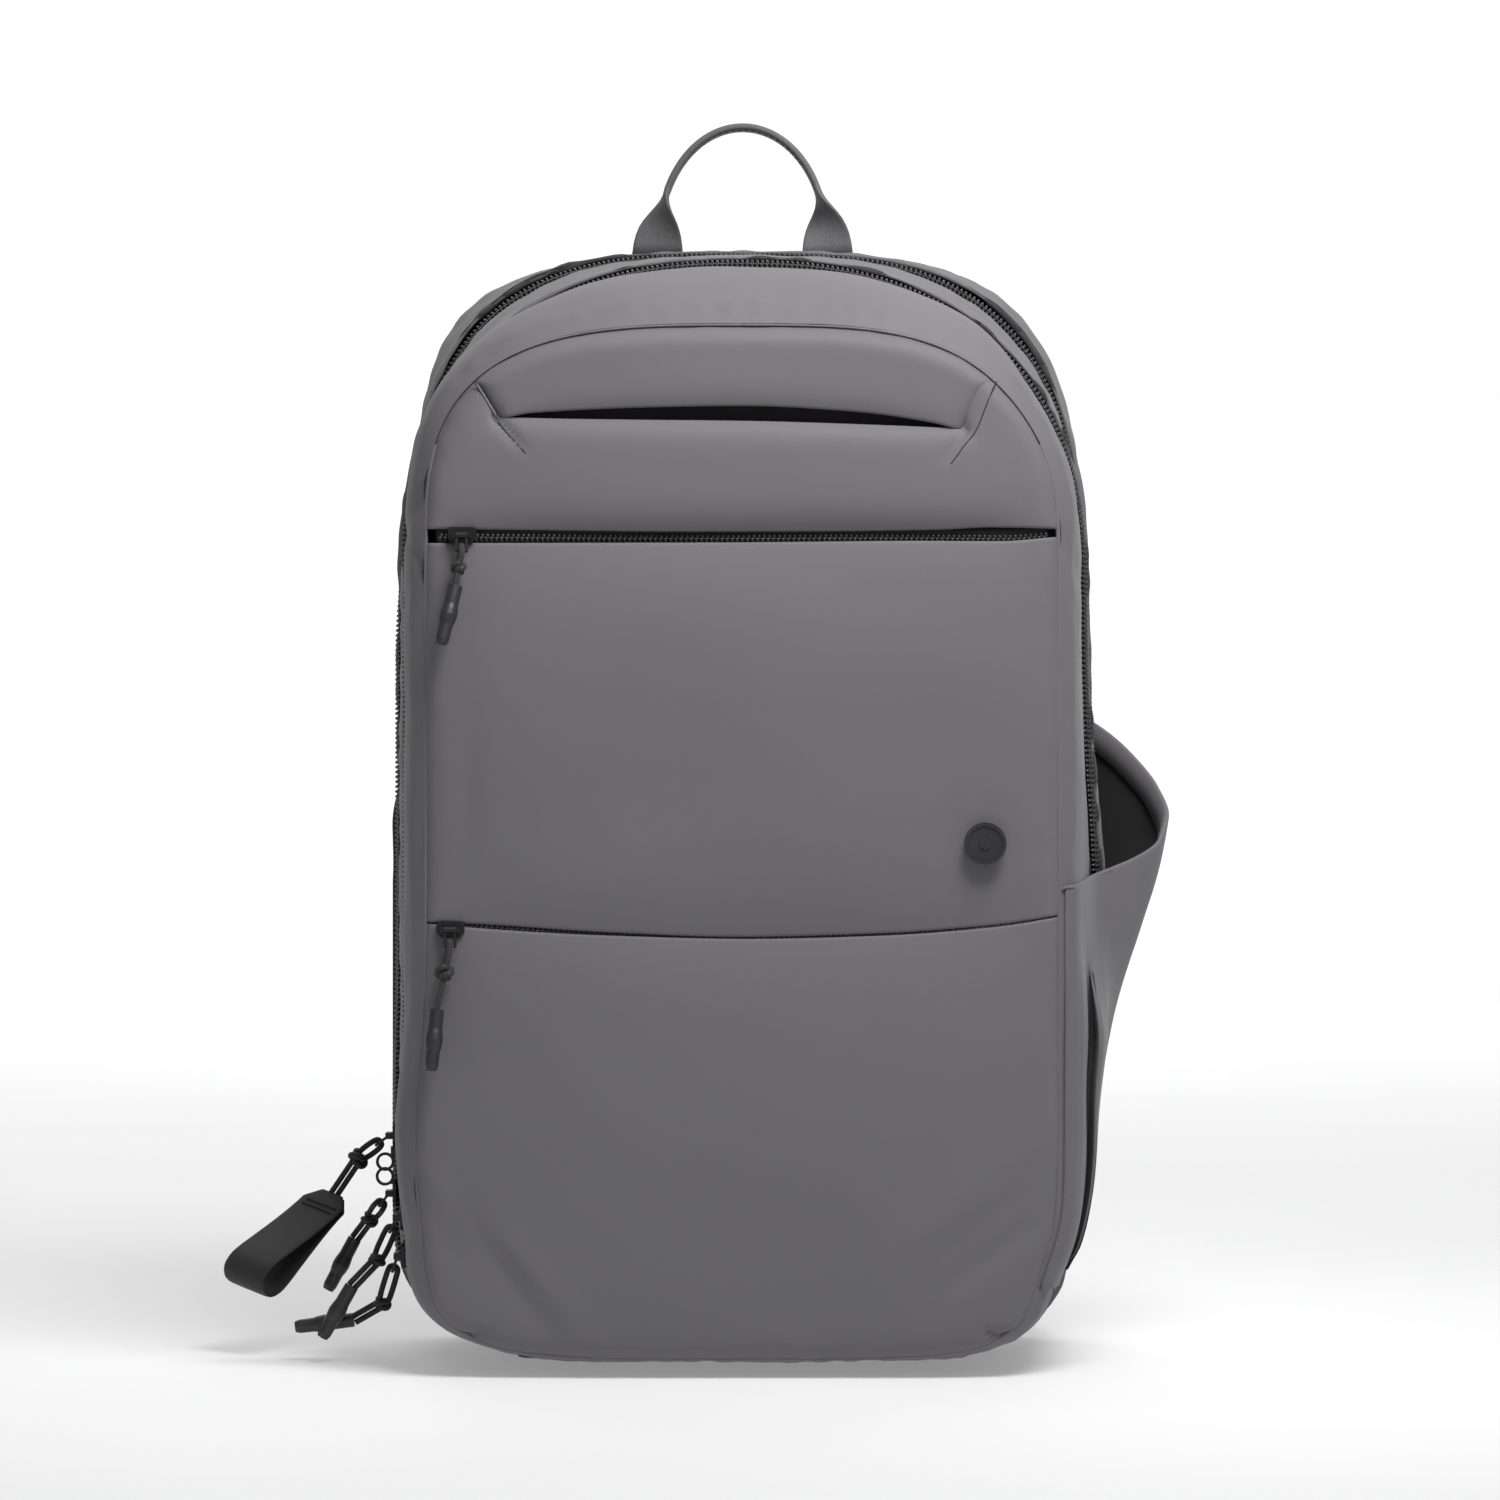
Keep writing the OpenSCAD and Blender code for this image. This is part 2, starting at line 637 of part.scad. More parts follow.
// One strand of a puller cord, from its end up to the link's bar: [sideways, share of
// the drift, twist, height]
function strand(side, h) = let (k = -h[1], e = -h[3])
    [for (p = [[strand_x, 1, 0, e], [strand_x, 1, 0, e + 4], [strand_x, 0.75, 0, k - 2],
        [strand_x + 0.2, 0.6, 0, k], [2.2, 0.3, 0.6, k + 4.5], [wrap, 0, 0.3, bar_z - 1],
        [wrap * 0.72, 0, 0, bar_z + wrap * 0.72]])
        [side * p[0], h[6] * p[1] + side * p[2], p[3]]];
function backward(v) = [for (i = [len(v) - 1:-1:0]) v[i]];
function cord_route(h) = concat(strand(-1, h), [[0, 0, bar_z + wrap]], backward(strand(1, h)));

module puller_cord(h) color(black) tube([for (p = smooth(cord_route(h), 2)) hung(p, h)], cord_d, [0, 1, 0]);

// Carries what hangs on the cord's ends, drawn down from the origin
module at_cord_end(h) {
    translate([0, 0, bar_z]) rotate([h[5], 0, 0]) translate([0, 0, -bar_z - h[1]]) rotate([0, h[2], 0])
        translate([0, h[6], h[1] - h[3]]) rotate([0, h[4], 0]) rotate([h[7], 0, 0]) children();
}

// The moulded sleeve over a cord's two ends, swelling over the knot inside it
module tip(h) {
    l = tip_l;
    color("#2a292b") at_cord_end(h) rotate([180, 0, 0]) rotate_extrude($fn = 40)
        polygon([[0, 0], [3.1, 0], [3.2, l * 0.32], [3.6, l * 0.4], [3.9, l * 0.5], [3.6, l * 0.6],
            [3.1, l * 0.68], [3.0, l * 0.92], [2.4, l], [0, l]]);
}

loop_l = 62;
loop_r = 8;
loop_twist = 43;
loop_t = 1.6;
loop_cut = 6;

// The broad webbing puller, doubled over into a teardrop
module pull_loop(h) {
    color(black) at_cord_end(h) rotate([0, 0, loop_twist]) rotate([90, 0, 0]) difference() {
        translate([0, 0, -loop_w / 2]) linear_extrude(loop_w) difference() {
            hull() {
                translate([0, -loop_l + loop_r]) circle(loop_r, $fn = 40);
                translate([-3, -4]) square([6, 4]);
            }
            hull() {
                translate([0, -loop_l + loop_r]) circle(loop_r - loop_t, $fn = 40);
                translate([-0.5, -13]) square([1, 1]);
            }
        }
        for (side = [-1, 1]) translate([0, 0, side * loop_w / 2]) rotate([45, 0, 0])
            cube([20, 2 * loop_cut, 2 * loop_cut], center = true);
    }
}

// Each pivot's place and its slider's turn about Z
upper_at = [[-120, face_y - gap - pocket_zip_t - 4.6, upper_zip_z], 90];
lower_at = [[-125, face_y - gap - pocket_zip_t - 4.6, lower_zip_z], 90];
function side_at(y, z) = [[-side_x(y, z + slider_l / 2) - tape_x - gap, y, z], 0];
rear_a_at = side_at(rear_zip_y, 92);
rear_b_at = side_at(rear_zip_y, 66);
main_a_at = side_at(main_zip_y, 60);
main_b_at = side_at(main_zip_y, 43);

module place_slider(at) translate(at[0]) rotate([0, 0, at[1]]) children();
module place_puller(at, h) translate(at[0]) rotate([0, 0, at[1]]) rotate([0, h[0], 0]) children();

module upper_slider() place_slider(upper_at) slider(true);
module upper_link() place_puller(upper_at, upper_hang) link();
module upper_cord() place_puller(upper_at, upper_hang) puller_cord(upper_hang);
module upper_tip() place_puller(upper_at, upper_hang) tip(upper_hang);
module lower_slider() place_slider(lower_at) slider(true);
module lower_link() place_puller(lower_at, lower_hang) link();
module lower_cord() place_puller(lower_at, lower_hang) puller_cord(lower_hang);
module lower_tip() place_puller(lower_at, lower_hang) tip(lower_hang);
module rear_a_slider() place_slider(rear_a_at) {
    slider(false);
    lock_eye(-11.5, -4.3, -4.5);
}
module rear_a_link() place_puller(rear_a_at, rear_a_hang) link();
module rear_a_cord() place_puller(rear_a_at, rear_a_hang) puller_cord(rear_a_hang);
module rear_a_loop() place_puller(rear_a_at, rear_a_hang) pull_loop(rear_a_hang);
module rear_b_slider() place_slider(rear_b_at) {
    slider(false);
    lock_eye(8, -6, 4.5);
}
module rear_b_link() place_puller(rear_b_at, rear_b_hang) link();
module rear_b_cord() place_puller(rear_b_at, rear_b_hang) puller_cord(rear_b_hang);
module rear_b_tip() place_puller(rear_b_at, rear_b_hang) tip(rear_b_hang);
module main_a_slider() place_slider(main_a_at) slider(false);
module main_a_link() place_puller(main_a_at, main_a_hang) link();
module main_a_cord() place_puller(main_a_at, main_a_hang) puller_cord(main_a_hang);
module main_a_tip() place_puller(main_a_at, main_a_hang) tip(main_a_hang);
module main_b_slider() place_slider(main_b_at) slider(false);
module main_b_link() place_puller(main_b_at, main_b_hang) link();
module main_b_cord() place_puller(main_b_at, main_b_hang) puller_cord(main_b_hang);
module main_b_tip() place_puller(main_b_at, main_b_hang) tip(main_b_hang);

rear_shell();
mid_gusset();
front_tub();
base_panel();
divider();
frame_sheet();
main_zip();
rear_zip();
bottle_pocket();
flat_pocket();
back_pads();
lumbar_pad();
strap_anchor_wings();
upper_pocket_base();
lower_pocket();
lower_pocket_zip();
badge();
front_fold();
front_shell();
main_zip_flap_tape();
hood_panel();
welt_panel();
upper_pocket();
upper_pocket_zip();
grab_handle();
shoulder_strap_left();
shoulder_strap_right();
ladder_locks();
strap_webbings();
sternum_rails();
sternum_clips();
sternum_webbing_left();
sternum_webbing_right();
sternum_socket();
sternum_plug();
upper_slider();
upper_link();
upper_cord();
upper_tip();
lower_slider();
lower_link();
lower_cord();
lower_tip();
rear_a_slider();
rear_a_link();
rear_a_cord();
rear_a_loop();
rear_b_slider();
rear_b_link();
rear_b_cord();
rear_b_tip();
main_a_slider();
main_a_link();
main_a_cord();
main_a_tip();
main_b_slider();
main_b_link();
main_b_cord();
main_b_tip();
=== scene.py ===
"""Daypack: the visual model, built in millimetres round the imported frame."""

import math

import bmesh
import bpy
import numpy as np
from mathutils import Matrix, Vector


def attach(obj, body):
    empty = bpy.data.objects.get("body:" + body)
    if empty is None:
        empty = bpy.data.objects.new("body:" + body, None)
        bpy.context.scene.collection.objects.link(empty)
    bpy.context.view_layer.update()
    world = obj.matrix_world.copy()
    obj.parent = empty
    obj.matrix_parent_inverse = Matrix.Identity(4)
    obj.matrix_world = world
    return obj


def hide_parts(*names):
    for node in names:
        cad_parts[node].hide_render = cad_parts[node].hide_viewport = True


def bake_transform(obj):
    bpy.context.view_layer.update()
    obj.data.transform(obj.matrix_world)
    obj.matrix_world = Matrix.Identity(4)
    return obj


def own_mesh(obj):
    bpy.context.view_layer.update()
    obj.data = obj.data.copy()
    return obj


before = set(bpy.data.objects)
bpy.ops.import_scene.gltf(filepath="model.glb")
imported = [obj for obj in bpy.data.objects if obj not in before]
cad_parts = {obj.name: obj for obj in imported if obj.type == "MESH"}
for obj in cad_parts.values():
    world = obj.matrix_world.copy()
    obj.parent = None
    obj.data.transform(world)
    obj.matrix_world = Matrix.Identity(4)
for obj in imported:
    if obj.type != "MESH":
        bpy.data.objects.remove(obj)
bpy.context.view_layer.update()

MM = 0.001
scene = bpy.context.scene

# ---------------------------------------------------------------- camera and light

CAMERA_AT = (0.0034, -2.285, 0.266)
SENSOR_MM, LENS_MM = 36, 122.8

camera_data = bpy.data.cameras.new("camera")
camera_data.sensor_width = SENSOR_MM
camera_data.lens = LENS_MM
camera = bpy.data.objects.new("camera", camera_data)
camera.location = CAMERA_AT
camera.rotation_euler = (math.radians(90), 0, 0)
scene.collection.objects.link(camera)
scene.camera = camera

# ---------------------------------------------------------------- mesh helpers


def add_mesh(name, points, faces, uv_points=None, uv_faces=None):
    """A mesh object from points in mm. uv_points are in mm too, so a pattern keeps its real size."""
    mesh = bpy.data.meshes.new(name)
    mesh.from_pydata((np.asarray(points, float) * MM).tolist(), [], [tuple(map(int, f)) for f in faces])
    if uv_points is not None:
        layer = mesh.uv_layers.new(name="UVMap")
        index = np.concatenate([np.asarray(f) for f in (faces if uv_faces is None else uv_faces)])
        layer.data.foreach_set("uv", (np.asarray(uv_points, float)[index] * MM).ravel())
    mesh.polygons.foreach_set("use_smooth", [True] * len(mesh.polygons))
    mesh.update()
    obj = bpy.data.objects.new(name, mesh)
    scene.collection.objects.link(obj)
    return obj


def lengths(p, axis):
    """Length run along a grid's axis, averaged over the other."""
    step = np.linalg.norm(np.diff(p, axis=axis), axis=2).mean(axis=1 - axis)
    return np.r_[0, np.cumsum(step)]


def quads(m, n, wide):
    """m by n quads on a grid with wide points to a row, which join up round it where n is wide."""
    i, j = (a.ravel() for a in np.meshgrid(np.arange(m), np.arange(n), indexing="ij"))
    k = (j + 1) % wide
    return np.stack([i * wide + j, i * wide + k, (i + 1) * wide + k, (i + 1) * wide + j], 1)


def metric_uv(p, closed):
    """The lengths run across and up a grid, in mm, as its UVs."""
    across = lengths(np.concatenate([p, p[:, :1]], 1) if closed else p, 1)
    return np.stack(np.meshgrid(across, lengths(p, 0)), 2)


def grid(name, p, closed=False, uv=None):
    """A surface through p, an (m, n, 3) grid in mm. Its normals are along-row cross along-column."""
    m, n = p.shape[:2]
    wide = n + 1 if closed else n
    uv = metric_uv(p, closed) if uv is None else uv
    faces, uv_faces = quads(m - 1, wide - 1, n), quads(m - 1, wide - 1, wide)
    return add_mesh(name, p.reshape(-1, 3), faces, uv.reshape(-1, 2), uv_faces)


def tube(name, rings):
    """A closed surface through rings, an (m, n, 3) grid whose columns wrap round, with a cap at each end."""
    m, n = rings.shape[:2]
    uv = metric_uv(rings, True).reshape(-1, 2)
    cap_uv = np.array([[0.3 * math.cos(a), 0.3 * math.sin(a)] for a in np.linspace(0, 6, n)])
    first = len(uv)
    faces = [*quads(m - 1, n, n), range(n)[::-1], range((m - 1) * n, m * n)]
    uv_faces = [*quads(m - 1, n, n + 1), range(first, first + n), range(first + n, first + 2 * n)]
    return add_mesh(name, rings.reshape(-1, 3), faces, np.concatenate([uv, cap_uv, cap_uv]), uv_faces)


def normals_out(obj, weld=0.0):
    """Turns a closed mesh's faces outward, after joining the points that lie within weld mm."""
    mesh = bmesh.new()
    mesh.from_mesh(obj.data)
    if weld:
        bmesh.ops.remove_doubles(mesh, verts=mesh.verts, dist=weld * MM)
    bmesh.ops.recalc_face_normals(mesh, faces=mesh.faces)
    mesh.to_mesh(obj.data)
    mesh.free()
    return obj


def modify(obj, kind, **settings):
    modifier = obj.modifiers.new(kind.lower(), kind)
    for key, value in settings.items():
        setattr(modifier, key, value)
    return modifier


def thicken(obj, mm, lined=False):
    """Gives a sheet its thickness. A lined one shows its second material inside."""
    modify(obj, "SOLIDIFY", thickness=mm * MM, offset=-1, use_even_offset=False,
           material_offset=1 if lined else 0, material_offset_rim=0)


def dress(obj, *materials, body=None, slot=None, stands_for=()):
    """Gives a piece its materials, its body and the nodes it stands for. Its slot argument is not used."""
    obj.data.materials.clear()
    for material in materials:
        obj.data.materials.append(material)
    if body:
        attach(obj, body)
    if stands_for:
        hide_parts(*stands_for)
    return obj


def fold(obj):
    """Bakes a piece's placement into its mesh, leaving it on no body."""
    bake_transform(obj)


def unit(v):
    v = np.asarray(v, float)
    return v / np.maximum(np.linalg.norm(v, axis=-1, keepdims=True), 1e-9)


def smoothstep(t):
    t = np.clip(t, 0, 1)
    return t * t * (3 - 2 * t)


def run_of(line):
    """The length run at each of a line's points."""
    return np.r_[0, np.cumsum(np.linalg.norm(np.diff(line, axis=0), axis=1))]


def read(line, run, at):
    """A line's values where its run reaches the lengths in at."""
    return np.stack([np.interp(at, run, column) for column in np.asarray(line).T], 1)


def resample(line, at):
    """A polyline's points at the shares of its length given in at, or at that many equal steps."""
    line = np.asarray(line, float)
    run = run_of(line)
    at = np.linspace(0, 1, at) if np.isscalar(at) else np.asarray(at)
    return read(line, run, at * run[-1])


def smooth_line(points, steps):
    """The curve through a list of points, with that many steps between neighbours."""
    p = np.asarray(points, float)
    out = []
    for i in range(len(p) - 1):
        a, b, c, d = p[max(i - 1, 0)], p[i], p[i + 1], p[min(i + 2, len(p) - 1)]
        for s in range(steps):
            k = s / steps
            out.append(0.5 * (2 * b + (c - a) * k + (2 * a - 5 * b + 4 * c - d) * k * k
                              + (3 * b - a - 3 * c + d) * k ** 3))
    return np.array(out + [p[-1]])


def hermite(x, table):
    """A smooth curve through a table's points that doesn't overshoot."""
    xs, ys = np.array(table, float).T
    h, d = np.diff(xs), np.diff(ys) / np.diff(xs)
    m = np.zeros(len(xs))
    same = d[:-1] * d[1:] > 0
    a, b = d[:-1][same], d[1:][same]
    m[1:-1][same] = 2 * a * b / (a + b)
    m[0], m[-1] = d[0], d[-1]
    x = np.clip(x, xs[0], xs[-1])
    i = np.clip(np.searchsorted(xs, x, side="right") - 1, 0, len(h) - 1)
    t = (x - xs[i]) / h[i]
    return ((2 * t ** 3 - 3 * t ** 2 + 1) * ys[i] + (t ** 3 - 2 * t ** 2 + t) * h[i] * m[i]
            + (3 * t ** 2 - 2 * t ** 3) * ys[i + 1] + (t ** 3 - t ** 2) * h[i] * m[i + 1])


class Ripple:
    """Smooth noise from a few waves, so that it is the same at every run."""

    def __init__(self, seed, wavelength, waves=7):
        r = np.random.default_rng(seed)
        d = unit(r.normal(size=(waves, 3)))
        self.k = d * (2 * math.pi / (wavelength * r.uniform(0.7, 1.4, (waves, 1))))
        self.phase = r.uniform(0, 2 * math.pi, waves)

    def __call__(self, p):
        return np.cos(p @ self.k.T + self.phase).mean(axis=-1) * 1.6


# ---------------------------------------------------------------- the body's shape

# The outline at each depth y: half its width, its top and foot, where the sides start to round over, and how
# square the round is (the power of a superellipse)
HALF_W = [(-88, 136), (-80, 143), (-60, 147), (-28, 148), (25, 155), (60, 155), (76, 150), (84, 142)]
TOP = [(-88, 448), (-80, 459), (-60, 472), (-28, 481), (25, 489), (60, 492), (76, 489), (84, 482)]
LOW = [(-88, 4), (-80, 2.4), (60, 2.4), (76, 4), (84, 10)]
SHOULDER = [(-88, 350), (-28, 337), (25, 290), (84, 290)]
ROUND = [(-88, 3.2), (-28, 2.4), (25, 3.2), (60, 4.2), (84, 4.2)]
CORNER_Z, CORNER_ROUND = 80, 4.8
FACE_Y, MAIN_Y, REAR_Y, BACK_Y = -88, -28, 25, 84
ZIP_END_Z = 34
N_UP, N_LOW = 170, 60


def half_ring(y, inset=0.0):
    """The right half of the outline at depth y, from its top to its bottom: (x, z)."""
    a = hermite(y, HALF_W) - inset
    top, low = hermite(y, TOP) - inset, hermite(y, LOW) + inset
    s, p = np.interp(y, *zip(*SHOULDER)), np.interp(y, *zip(*ROUND))
    t = np.radians(np.linspace(90, 0, 240))
    up = np.stack([a * np.abs(np.cos(t)) ** (2 / p), s + (top - s) * np.sin(t) ** (2 / p)], 1)
    up = np.concatenate([up, [[a, CORNER_Z]]])
    t = np.radians(np.linspace(0, 90, 160))
    q = 2 / CORNER_ROUND
    down = np.stack([a * np.abs(np.cos(t)) ** q, CORNER_Z - (CORNER_Z - low) * np.sin(t) ** q], 1)
    return np.concatenate([resample(up, N_UP + 1)[:-1], resample(down, N_LOW + 1)])


def ring(y, inset=0.0):
    """The whole outline at depth y in mm, clockwise seen from the front, from its top."""
    right = half_ring(y, inset)
    left = right[::-1] * [-1, 1]
    xz = np.concatenate([right[:-1], left[:-1]])
    return np.stack([xz[:, 0], np.full(len(xz), float(y)), xz[:, 1]], 1)


def settle(p):
    """How the filled pack sits: small shifts of the whole soft body, none where the hardware is."""
    p = np.array(p, float)
    x, y, z = p[..., 0], p[..., 1], p[..., 2]
    right, left = smoothstep(x / 110), smoothstep(-x / 110)
    front = smoothstep((-20 - y) / 40)
    p[..., 0] -= 7 * right * front * np.exp(-(((z - 425) / 34) ** 2))
    p[..., 0] += 8 * right * np.exp(-(((z - 205) / 62) ** 2)) * np.exp(-((y / 44) ** 2))
    tall = smoothstep((z - 110) / 60) * smoothstep((470 - z) / 60)
    zips = np.exp(-(((y + 27) / 22) ** 2)) * tall
    p[..., 0] += (2.6 * right - 1.6 * left * smoothstep((z - 320) / 60)) * zips
    p[..., 0] += 1.2 * left * smoothstep(y / 20) * tall
    p[..., 0] += 2.4 * left * np.exp(-(((y + 22) / 6) ** 2)) * (1 - smoothstep((z - 310) / 50))
    p[..., 0] -= 8 * right * np.exp(-(((z - 32) / 24) ** 2)) * smoothstep((78 - y) / 50)
    p[..., 0] -= 4.5 * left * np.exp(-(((z - 100) / 46) ** 2)) * smoothstep((-48 - y) / 26)
    return p


def outward(p):
    """Unit outward directions of a ring grid, (m, n, 3)."""
    along = np.roll(p, -1, 1) - np.roll(p, 1, 1)
    deep = np.gradient(p, axis=0)
    return unit(np.cross(along, deep))


# ---------------------------------------------------------------- materials


class Nodes:
    """A short way to write a node tree."""

    def __init__(self, name):
        self.material = bpy.data.materials.new(name)
        self.material.use_nodes = True
        self.tree = self.material.node_tree
        self.shader = self.tree.nodes["Principled BSDF"]

    def feed(self, socket, value):
        if isinstance(value, bpy.types.NodeSocket):
            self.tree.links.new(value, socket)
        else:
            socket.default_value = value

    def math(self, operation, a, b=0.0, c=None):
        node = self.tree.nodes.new("ShaderNodeMath")
        node.operation = operation
        self.feed(node.inputs[0], a)
        self.feed(node.inputs[1], b)
        if c is not None:
            self.feed(node.inputs[2], c)
        return node.outputs[0]

    def new(self, kind, **inputs):
        """Adds a node and sets or links the inputs that are named."""
        node = self.tree.nodes.new(kind)
        for name, value in inputs.items():
            self.feed(node.inputs[name], value)
        return node

    def uv(self):
        node = self.new("ShaderNodeUVMap")
        node.uv_map = "UVMap"
        split = self.new("ShaderNodeSeparateXYZ", Vector=node.outputs[0])
        return split.outputs[0], split.outputs[1]

    def place(self):
        return self.new("ShaderNodeTexCoord").outputs["Object"]

    def noise(self, scale, detail=3.0, roughness=0.5):
        node = self.new("ShaderNodeTexNoise", Vector=self.place(), Scale=scale, Detail=detail,
                        Roughness=roughness)
        return node.outputs["Fac"]

    def wave(self, coordinate, period):
        """Runs from -1 to 1 along a coordinate in metres."""
        return self.math("SINE", self.math("MULTIPLY", coordinate, 2 * math.pi / period))

    def ramp(self, value, *stops):
        node = self.tree.nodes.new("ShaderNodeValToRGB")
        self.feed(node.inputs[0], value)
        elements = node.color_ramp.elements
        while len(elements) < len(stops):
            elements.new(0.5)
        for element, (place, colour) in zip(elements, stops):
            element.position = place
            element.color = (*colour, 1)
        return node.outputs[0]

    def bump(self, height, distance):
        return self.new("ShaderNodeBump", Strength=1.0, Distance=distance, Height=height).outputs[0]

    def finish(self, colour, roughness, normal=None, **settings):
        self.feed(self.shader.inputs["Base Color"], colour)
        self.feed(self.shader.inputs["Roughness"], roughness)
        if normal is not None:
            self.feed(self.shader.inputs["Normal"], normal)
        for key, value in settings.items():
            self.shader.inputs[key.replace("_", " ")].default_value = value
        return self.material


def shade(colour, factor):
    return tuple(c * factor for c in colour)


def woven(name, colour, period, depth, roughness, contrast=0.16, mottle=0.06, **settings):
    """A plain weave: over and under threads on metric UVs, with soft unevenness over it."""
    n = Nodes(name)
    u, v = n.uv()
    over = n.math("MULTIPLY", n.wave(u, period), n.wave(v, period))
    threads = n.math("MULTIPLY_ADD", over, 0.5, 0.5)
    cloud = n.noise(34, 3.0, 0.55)
    fine = n.noise(900, 2.0, 0.6)
    mix = n.math("MULTIPLY_ADD", n.math("SUBTRACT", cloud, 0.5), mottle * 4,
                 n.math("MULTIPLY_ADD", n.math("SUBTRACT", fine, 0.5), mottle * 3, 0.5))
    mix = n.math("MULTIPLY_ADD", n.math("SUBTRACT", threads, 0.5), contrast, mix)
    tint = n.ramp(mix, (0.0, shade(colour, 0.72)), (0.5, colour), (1.0, shade(colour, 1.28)))
    height = n.math("MULTIPLY_ADD", n.noise(420, 2.0), 0.6, threads)
    rough = n.math("MULTIPLY_ADD", cloud, 0.14, roughness - 0.07)
    return n.finish(tint, rough, n.bump(height, depth * MM), **settings)


def ribbed(name, colour, rib, depth, roughness, speck=0.0, twill=0.0, **settings):
    """Webbing or tape: ribs across its length, crossed by the warp threads."""
    n = Nodes(name)
    u, v = n.uv()
    slanted = n.math("MULTIPLY_ADD", u, twill, v)
    ribs = n.math("ABSOLUTE", n.wave(slanted, rib * 2))
    warp = n.math("ABSOLUTE", n.wave(u, rib * 1.5))
    height = n.math("MULTIPLY_ADD", warp, 0.55, ribs)
    grain = n.noise(1500, 2.0, 0.7)
    specks = n.math("MULTIPLY_ADD", grain, 0.3 + speck, -0.1 - speck / 2)
    mix = n.math("MULTIPLY_ADD", height, 0.42, specks)
    tint = n.ramp(mix, (0.05, shade(colour, 0.45)), (0.5, colour), (0.95, shade(colour, 1.5 + speck)))
    return n.finish(tint, roughness, n.bump(height, depth * MM), **settings)


def moulded(name, colour, roughness, grain=0.03, **settings):
    """Moulded plastic, rubber or painted metal: fine texture and uneven gloss."""
    n = Nodes(name)
    fine = n.noise(2600, 3.0, 0.6)
    cloud = n.noise(60, 4.0, 0.6)
    tint = n.ramp(cloud, (0.3, shade(colour, 0.82)), (0.7, shade(colour, 1.2)))
    rough = n.math("MULTIPLY_ADD", cloud, 0.16, roughness - 0.08)
    return n.finish(tint, rough, n.bump(fine, grain * MM), **settings)


def spacer(name, colour, cell):
    """Open spacer mesh: rows of small round holes in a knitted face."""
    n = Nodes(name)
    cells = n.new("ShaderNodeTexVoronoi", Vector=n.place(), Scale=1 / (cell * MM), Randomness=0.32)
    hole = cells.outputs["Distance"]
    fine = n.noise(1800, 2.0)
    mix = n.math("MULTIPLY_ADD", fine, 0.25, hole)
    tint = n.ramp(mix, (0.22, shade(colour, 0.25)), (0.42, colour), (0.9, shade(colour, 1.5)))
    return n.finish(tint, 0.85, n.bump(hole, 0.5 * MM), Sheen_Weight=0.2)


def braided(name, colour):
    """A braided cord: two sets of strands that cross round it."""
    n = Nodes(name)
    u, v = n.uv()
    turn = 2 * math.pi / (2.6 * math.pi * MM) * 5   # five strands round a cord 2.6 mm thick
    a = n.math("MULTIPLY", u, turn)
    b = n.math("MULTIPLY", v, 2 * math.pi / (2.2 * MM))
    one = n.math("SINE", n.math("ADD", a, b))
    two = n.math("SINE", n.math("SUBTRACT", a, b))
    height = n.math("MULTIPLY_ADD", n.math("MULTIPLY", one, two), 0.5, 0.5)
    tint = n.ramp(height, (0.1, shade(colour, 0.4)), (0.6, colour), (1.0, shade(colour, 2.0)))
    return n.finish(tint, 0.62, n.bump(height, 0.22 * MM), Sheen_Weight=0.1)


SHELL = (0.108, 0.1038, 0.1096)
shell = woven("shell_fabric", SHELL, 0.55, 0.05, 0.72, contrast=0.10, mottle=0.035, Sheen_Weight=0.08)
lining = woven("lining_fabric", (0.012, 0.011, 0.0125), 0.7, 0.06, 0.8, Sheen_Weight=0.05)
binding = ribbed("binding_tape", (0.012, 0.012, 0.013), 0.5, 0.08, 0.75)
pad_mesh = spacer("spacer_mesh", (0.030, 0.030, 0.033), 2.4)
tape = ribbed("zip_tape", (0.013, 0.013, 0.0135), 0.55, 0.07, 0.7)
coil = moulded("zip_coil", (0.012, 0.012, 0.0125), 0.3, 0.01, Specular_IOR_Level=0.6)
webbing = ribbed("webbing", (0.008, 0.008, 0.0085), 1.0, 0.16, 0.7, twill=0.4, Sheen_Weight=0.08)
handle_web = ribbed("handle_webbing", (0.13, 0.127, 0.133), 0.85, 0.2, 0.7, speck=0.5, twill=1.0,
                    Sheen_Weight=0.1)
plastic = moulded("buckle_plastic", (0.016, 0.016, 0.017), 0.42, 0.03)
metal = moulded("painted_metal", (0.011, 0.011, 0.0115), 0.36, 0.008, Metallic=0.3)
cord_cloth = braided("puller_cord", (0.009, 0.009, 0.0095))
rubber = moulded("tip_rubber", (0.016, 0.0155, 0.017), 0.42, 0.02)
badge_rubber = moulded("badge_rubber", (0.018, 0.017, 0.019), 0.38, 0.02)
stitch = woven("stitch_thread", (0.075, 0.072, 0.077), 0.4, 0.05, 0.7)
# Dark thread for the real stitches, also drawn as thin lines of painted shade in the face's seam and darts
thread_and_shade_black = woven("black_thread_and_painted_shade", (0.012, 0.012, 0.013), 0.4, 0.05, 0.7)


def sewn(obj, mm, body=None, stands_for=()):
    """Makes a sheet a panel of the pack's fabric, lined and mm thick."""
    dress(obj, shell, lining, body=body, slot="shell_fabric", stands_for=stands_for)
    thicken(obj, mm, lined=True)
    return obj


# ---------------------------------------------------------------- puller cords

CORD_D, BAR_Z, BAR_R = 2.6, -7.0, 0.7
STRAND_X = CORD_D / 2 + 0.15
WRAP = BAR_R + CORD_D / 2 + 0.15
BIG_KNOT, SMALL_KNOT = (4.2, 1.5), (3.4, 1.2)
